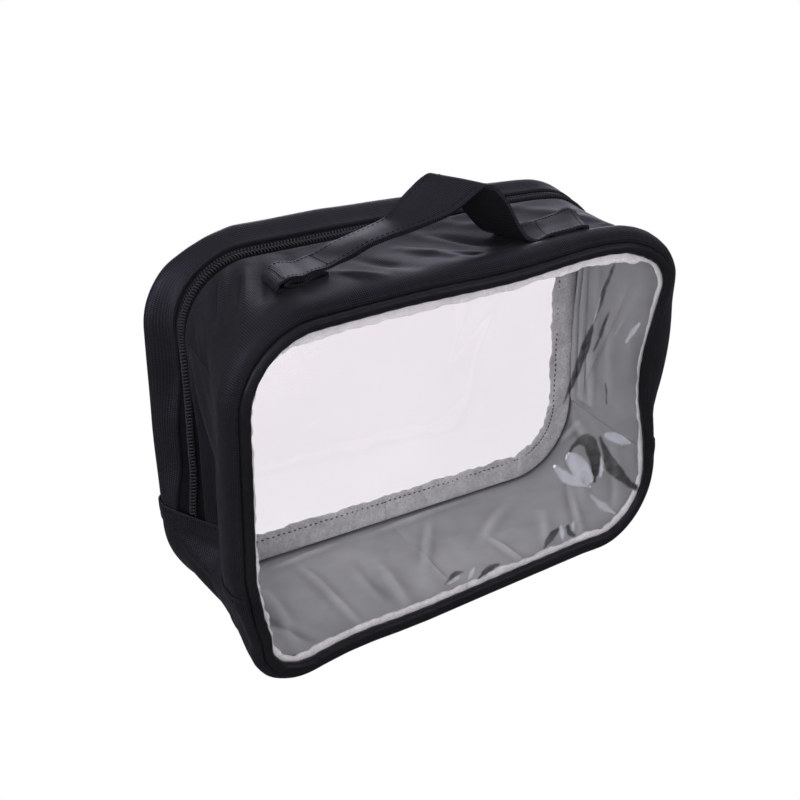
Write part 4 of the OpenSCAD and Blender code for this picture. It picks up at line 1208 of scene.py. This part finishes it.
qa, qb = index_at(-90, 4.6, left_part), index_at(-67, 4.6, left_part)
qc, qd = index_at(54, 1.9, right_part), index_at(81, 2.1, right_part)
SIGN = 1.0
if (N[(qa + qb) // 2, 10, 2]) < 0:
    SIGN = -1.0
for q0, q1 in ((qa, qb), (qc, qd)):
    for seg in ((q0, 0.08, q1, 0.08), (q1, 0.08, q1, 0.92), (q1, 0.92, q0, 0.92), (q0, 0.92, q0, 0.08)):
        c, tt, n = line_stitch(*seg)
        boxes_C.append(c); boxes_T.append(tt); boxes_N.append(n * SIGN)
o = stitches("stitches_tabs", np.concatenate(boxes_C), np.concatenate(boxes_T), np.concatenate(boxes_N), 1.9, 0.2, M["thread"])
done(o, ["handle_thread"], "bag_body")
loop_C, loop_T, loop_N = [], [], []
for w in (0.1, 0.9):
    c, tt, n = line_stitch(qb, w, qc, w, 2.6)
    loop_C.append(c); loop_T.append(tt); loop_N.append(n * SIGN)
o = stitches("stitches_strap", np.concatenate(loop_C), np.concatenate(loop_T), np.concatenate(loop_N), 1.8, 0.17, M["thread"])
done(o, [], None, "handle")

# ---------------------------------------------------------------- slider and pull tab
def rounded(poly, r, n=4):
    """polygon with its corners rounded."""
    p = np.asarray(poly, float)
    out = []
    for i in range(len(p)):
        a, b, c = p[i - 1], p[i], p[(i + 1) % len(p)]
        u, v = (a - b) / np.linalg.norm(a - b), (c - b) / np.linalg.norm(c - b)
        rr = min(r, 0.45 * np.linalg.norm(a - b), 0.45 * np.linalg.norm(c - b))
        for k in range(n + 1):
            t = k / n
            out.append((1 - t) ** 2 * (b + u * rr) + 2 * t * (1 - t) * b + t**2 * (b + v * rr))
    return np.array(out)


def plate(polys, x0, x1, bevel):
    """a plate between x0 and x1 with its outline in (y, z), its rims rounded in steps."""
    p = np.asarray(polys, float)
    c = p.mean(0)
    n = len(p)
    nxt, prv = np.roll(p, -1, 0), np.roll(p, 1, 0)
    tg = nxt - prv
    nm = np.stack([tg[:, 1], -tg[:, 0]], -1)
    nm /= np.linalg.norm(nm, axis=1, keepdims=True)
    if ((p - c) * nm).sum() < 0:
        nm = -nm
    rows = []
    for k in range(5):
        a = math.pi / 2 * k / 4
        rows.append((x0 + bevel * (1 - math.sin(a)), bevel * (1 - math.cos(a))))
    rows = rows[::-1] if False else rows
    lo = [(x0 + bevel * (1 - math.cos(math.pi / 2 * k / 4)), bevel * (1 - math.sin(math.pi / 2 * k / 4))) for k in range(5)]
    hi = [(x1 - (x - x0), ins) for x, ins in lo[::-1]]
    V = []
    for x, ins in lo + hi:
        q = p - nm * ins
        V.append(np.concatenate([np.full((n, 1), x), q], 1))
    return np.array(V)


def add_solid(rows_list):
    """joins swept solids (rows of rings) into one vertex and face list with fan caps."""
    V, Q, T3, off = [], [], [], 0
    for R in rows_list:
        k, n, _ = R.shape
        V.append(R.reshape(-1, 3))
        Q.append(quads(k, n, False, True, off))
        V.append(R[0].mean(0)[None]); V.append(R[-1].mean(0)[None])
        j = np.arange(n)
        T3.append(np.stack([j + off, (j + 1) % n + off, np.full(n, off + k * n)], -1))
        b = off + (k - 1) * n
        T3.append(np.stack([b + (j + 1) % n, b + j, np.full(n, off + k * n + 1)], -1))
        off += k * n + 2
    return np.concatenate(V), np.concatenate(Q), np.concatenate(T3)


zs_lo, zs_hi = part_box("slider")[0].z * 1000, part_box("slider")[1].z * 1000
zc = (zs_lo + zs_hi) / 2
shift = place(s_right(np.array([zc])), np.array([22.0]), np.array([0.0]))[0] - np.array([HW, 22.0, zc])
shift[2] = 0
sw, sl = 4.6, zs_hi - zs_lo
body_poly = rounded([(22 - 2.9, zs_lo), (22 + 2.9, zs_lo), (22 + sw, zs_lo + 3.2), (22 + sw, zs_hi - 2.4), (22 + 1.6, zs_hi - 0.2), (22, zs_hi - 1.6), (22 - 1.6, zs_hi - 0.2), (22 - sw, zs_hi - 2.4), (22 - sw, zs_lo + 3.2)], 1.4)
px_ = HW + 0.7
outer = plate(body_poly, px_, px_ + 1.8, 0.75)
inner = plate(body_poly, HW - 2.75, HW - 1.95, 0.3)
wedge = plate(rounded([(22 - 0.32, zs_hi - 4.2), (22 + 0.32, zs_hi - 4.2), (22 + 0.32, zs_hi - 0.9), (22 - 0.32, zs_hi - 0.9)], 0.25), HW - 2.4, px_ + 0.4, 0.1)
# side flanges curl over the coils' outer edges
parts = [outer, inner, wedge]
for sg in (-1, 1):
    fl = plate(rounded([(22 + sg * (sw - 0.9), zs_lo + 2.6), (22 + sg * (sw + 0.0), zs_lo + 2.6), (22 + sg * (sw + 0.0), zs_hi - 3), (22 + sg * (sw - 0.9), zs_hi - 3)], 0.3), px_ - 0.6, px_ + 0.9, 0.25)
    parts.append(fl)
# bridge: a bent bar over the plate that the pull tab hangs in
pinz, pinx = zs_lo + 5.0, HW + 4.0
a = np.linspace(0, 1, 19)
bx = px_ + 1.5 + 3.6 * np.sin(math.pi * a) ** 0.55
bz = zs_lo + 1.6 + (sl - 3.2) * a
bw = 1.15 + 0.25 * np.cos(2 * math.pi * a)
ring = []
for i in range(len(a)):
    i0, i1 = max(i - 1, 0), min(i + 1, len(a) - 1)
    tx, tz = bx[i1] - bx[i0], bz[i1] - bz[i0]
    l = math.hypot(tx, tz)
    nx_b, nz_b = tz / l, -tx / l
    an = np.linspace(0, 2 * math.pi, 14, endpoint=False)
    cx, cy = np.sign(np.cos(an)) * np.abs(np.cos(an)) ** 0.6, np.sign(np.sin(an)) * np.abs(np.sin(an)) ** 0.6
    ring.append(np.stack([bx[i] + nx_b * 0.42 * cx, 22 + bw[i] * cy, bz[i] + nz_b * 0.42 * cx], -1))
parts.append(np.array(ring))
V, Q, T3 = add_solid(parts)
o = fix_normals(poly("zip_slider_body", V + shift, Q, T3, V[:, 1:] * 0.01, M["metal"]))
done(o, ["slider"], "zip_slider")

# pull tab: loop round the bridge, neck and a ribbed drop-shaped plate
top = pinz
pl = [(22 - 2.0, top - 4.0), (22 + 2.0, top - 4.0), (22 + 2.5, top - 8), (22 + 3.7, top - 12), (22 + 3.8, top - 24), (22 + 2.4, top - 27), (22 - 2.4, top - 27), (22 - 3.8, top - 24), (22 - 3.7, top - 12), (22 - 2.5, top - 8)]
pl = rounded(pl, 2.0)
tabp = plate(pl, pinx - 0.75, pinx + 0.75, 0.5)
rim = []
c2 = pl.mean(0)
for sgx, xa, xb in ((1, pinx + 0.6, pinx + 1.0), (-1, pinx - 1.0, pinx - 0.6)):
    inset = c2 + (pl - c2) * np.array([0.62, 0.80])
    rim.append(plate(inset, xa, xb, 0.18))
an = np.linspace(0, 2 * math.pi, 40, endpoint=False)
loopc = np.stack([np.full(40, pinx), 22 + 2.7 * np.cos(an), top - 2.1 + 2.9 * np.sin(an)], -1)
Tn2, S2, U2 = frames(np.concatenate([loopc[-1:], loopc, loopc[:1]]), (1, 0, 0))
sec = np.linspace(0, 2 * math.pi, 12, endpoint=False)
ringL = loopc[:, None] + (S2[1:-1, None] * np.cos(sec)[None, :, None] + U2[1:-1, None] * np.sin(sec)[None, :, None]) * 0.72
V, Q, T3 = add_solid([tabp] + rim)
k0 = len(V)
V = np.concatenate([V, ringL.reshape(-1, 3)])
Q = np.concatenate([Q, quads(40, 12, True, True, k0)])
o = fix_normals(poly("zip_pull_tab", V + shift, Q, T3, V[:, 1:] * 0.01, M["metal"]))
done(o, ["puller"], "pull_tab")

# ---------------------------------------------------------------- camera
cam_d = bpy.data.cameras.new("camera")
cam = bpy.data.objects.new("camera", cam_d)
scene.collection.objects.link(cam)
right, up_, fw = (0.82523, -0.5648, 0.00139), (0.24101, 0.35435, 0.90352), (0.5108, 0.74528, -0.42854)
R3 = Matrix(((right[0], up_[0], -fw[0]), (right[1], up_[1], -fw[1]), (right[2], up_[2], -fw[2])))
cam.matrix_world = Matrix.Translation((-0.33971, -0.47384, 0.37045)) @ R3.to_4x4()
cam_d.sensor_width, cam_d.lens = 36.0, 58.285
cam_d.clip_start, cam_d.clip_end = 0.01, 100
scene.camera = cam

# ---------------------------------------------------------------- floor, light
fm, ft, fo = new_mat("studio_floor")
k = NT(ft)
fb = k.node("ShaderNodeBsdfDiffuse")
fgeo = k.node("ShaderNodeTexCoord").outputs["Object"]
k.link(k.ramp(k.noise(fgeo, 3, 2), (0.90, 0.90, 0.905), (0.92, 0.92, 0.92), 0.3, 0.7), fb.inputs[0])
fe = k.node("ShaderNodeEmission")
fe.inputs["Strength"].default_value = 1.0
fl = k.node("ShaderNodeLightPath")
fx = k.node("ShaderNodeMixShader")
k.link(fl.outputs["Is Camera Ray"], fx.inputs[0])
k.link(fb.outputs[0], fx.inputs[1])
k.link(fe.outputs[0], fx.inputs[2])
k.link(fx.outputs[0], fo.inputs[0])
me = bpy.data.meshes.new("floor")
me.from_pydata([(-30, -30, 0), (30, -30, 0), (30, 30, 0), (-30, 30, 0)], [], [(0, 1, 2, 3)])
me.materials.append(fm)
floor = bpy.data.objects.new("floor", me)
scene.collection.objects.link(floor)
floor.location.z = -0.0002
floor.visible_glossy = False

w = bpy.data.worlds.new("studio")
scene.world = w
w.use_nodes = True
t = w.node_tree
for n in list(t.nodes):
    t.nodes.remove(n)
k = NT(t)
out = k.node("ShaderNodeOutputWorld")
bg = k.node("ShaderNodeBackground")
tc = k.node("ShaderNodeTexCoord")
sx = k.node("ShaderNodeSeparateXYZ")
k.link(tc.outputs["Generated"], sx.inputs[0])
lp = k.node("ShaderNodeLightPath")
# soft sky for the matt parts
el = sx.outputs[2]
sky = k.math("ADD", k.math("MULTIPLY", k.math("MAXIMUM", el, 0.0), 0.55), 0.58)


def patch_light(d, inner, outer, power):
    """a soft box seen in mirrored light, round the direction d."""
    n = math.sqrt(sum(c * c for c in d))
    vm = k.node("ShaderNodeVectorMath", operation="DOT_PRODUCT")
    k.link(tc.outputs["Generated"], vm.inputs[0])
    vm.inputs[1].default_value = tuple(c / n for c in d)
    mr = k.node("ShaderNodeMapRange", interpolation_type="SMOOTHSTEP")
    k.link(vm.outputs["Value"], mr.inputs["Value"])
    mr.inputs["From Min"].default_value = math.cos(math.radians(outer))
    mr.inputs["From Max"].default_value = math.cos(math.radians(inner))
    mr.inputs["To Min"].default_value = 0.0
    mr.inputs["To Max"].default_value = power
    return mr.outputs[0]


gloss = k.math("ADD", k.math("MULTIPLY", k.math("MAXIMUM", el, 0.0), 0.2), 0.05)
for d_, a_, b_, w_ in (((0.6, 0.8, 0.08), 10, 24, 0.75), ((0.45, 0.88, -0.2), 8, 25, 2.0), ((0.5, 0.3, 0.8), 5, 13, 0.7), ((-0.84, 0.3, 0.42), 8, 22, 2.3), ((-0.55, -0.35, 0.75), 10, 20, 1.0), ((0.7, -0.6, 0.4), 6, 12, 1.6), ((-0.2, -0.95, 0.25), 5, 9, 1.2)):
    gloss = k.math("ADD", gloss, patch_light(d_, a_, b_, w_))
val = k.math("ADD", k.math("MULTIPLY", sky, k.math("SUBTRACT", 1.0, lp.outputs["Is Glossy Ray"])), k.math("MULTIPLY", gloss, lp.outputs["Is Glossy Ray"]))
val = k.math("ADD", k.math("MULTIPLY", val, k.math("SUBTRACT", 1.0, lp.outputs["Is Camera Ray"])), k.math("MULTIPLY", lp.outputs["Is Camera Ray"], 1.0))
k.link(val, bg.inputs["Strength"])
# the mirrored part is a little violet
hue = k.node("ShaderNodeCombineXYZ")
k.link(k.math("SUBTRACT", 1.0, k.math("MULTIPLY", lp.outputs["Is Glossy Ray"], 0.11)), hue.inputs[0])
k.link(k.math("SUBTRACT", 1.0, k.math("MULTIPLY", lp.outputs["Is Glossy Ray"], 0.14)), hue.inputs[1])
hue.inputs[2].default_value = 1.0
k.link(hue.outputs[0], bg.inputs["Color"])
k.link(bg.outputs[0], out.inputs[0])


def area_light(name, loc, target, size, power, col=(1, 1, 1)):
    d = bpy.data.lights.new(name, "AREA")
    d.energy, d.size, d.color = power, size, col
    d.shape = "SQUARE"
    o = bpy.data.objects.new(name, d)
    scene.collection.objects.link(o)
    from mathutils import Vector

    v = Vector(target) - Vector(loc)
    o.matrix_world = Matrix.Translation(loc) @ v.to_track_quat("-Z", "Y").to_matrix().to_4x4()
    o.visible_camera = False
    o.visible_glossy = False
    return o


area_light("key", (0.3, 0.9, 1.3), (0, 0, 0.1), 0.7, 3.5, (1.0, 0.99, 1.0))
area_light("front_fill", (-1.15, -1.25, 0.95), (0.08, 0, 0.08), 0.8, 14.0)

scene.view_settings.view_transform = "Standard"
scene.view_settings.look = "None"
scene.view_settings.exposure = 0.0
scene.cycles.transparent_max_bounces = 24
scene.cycles.max_bounces = 10
scene.cycles.diffuse_bounces = 4
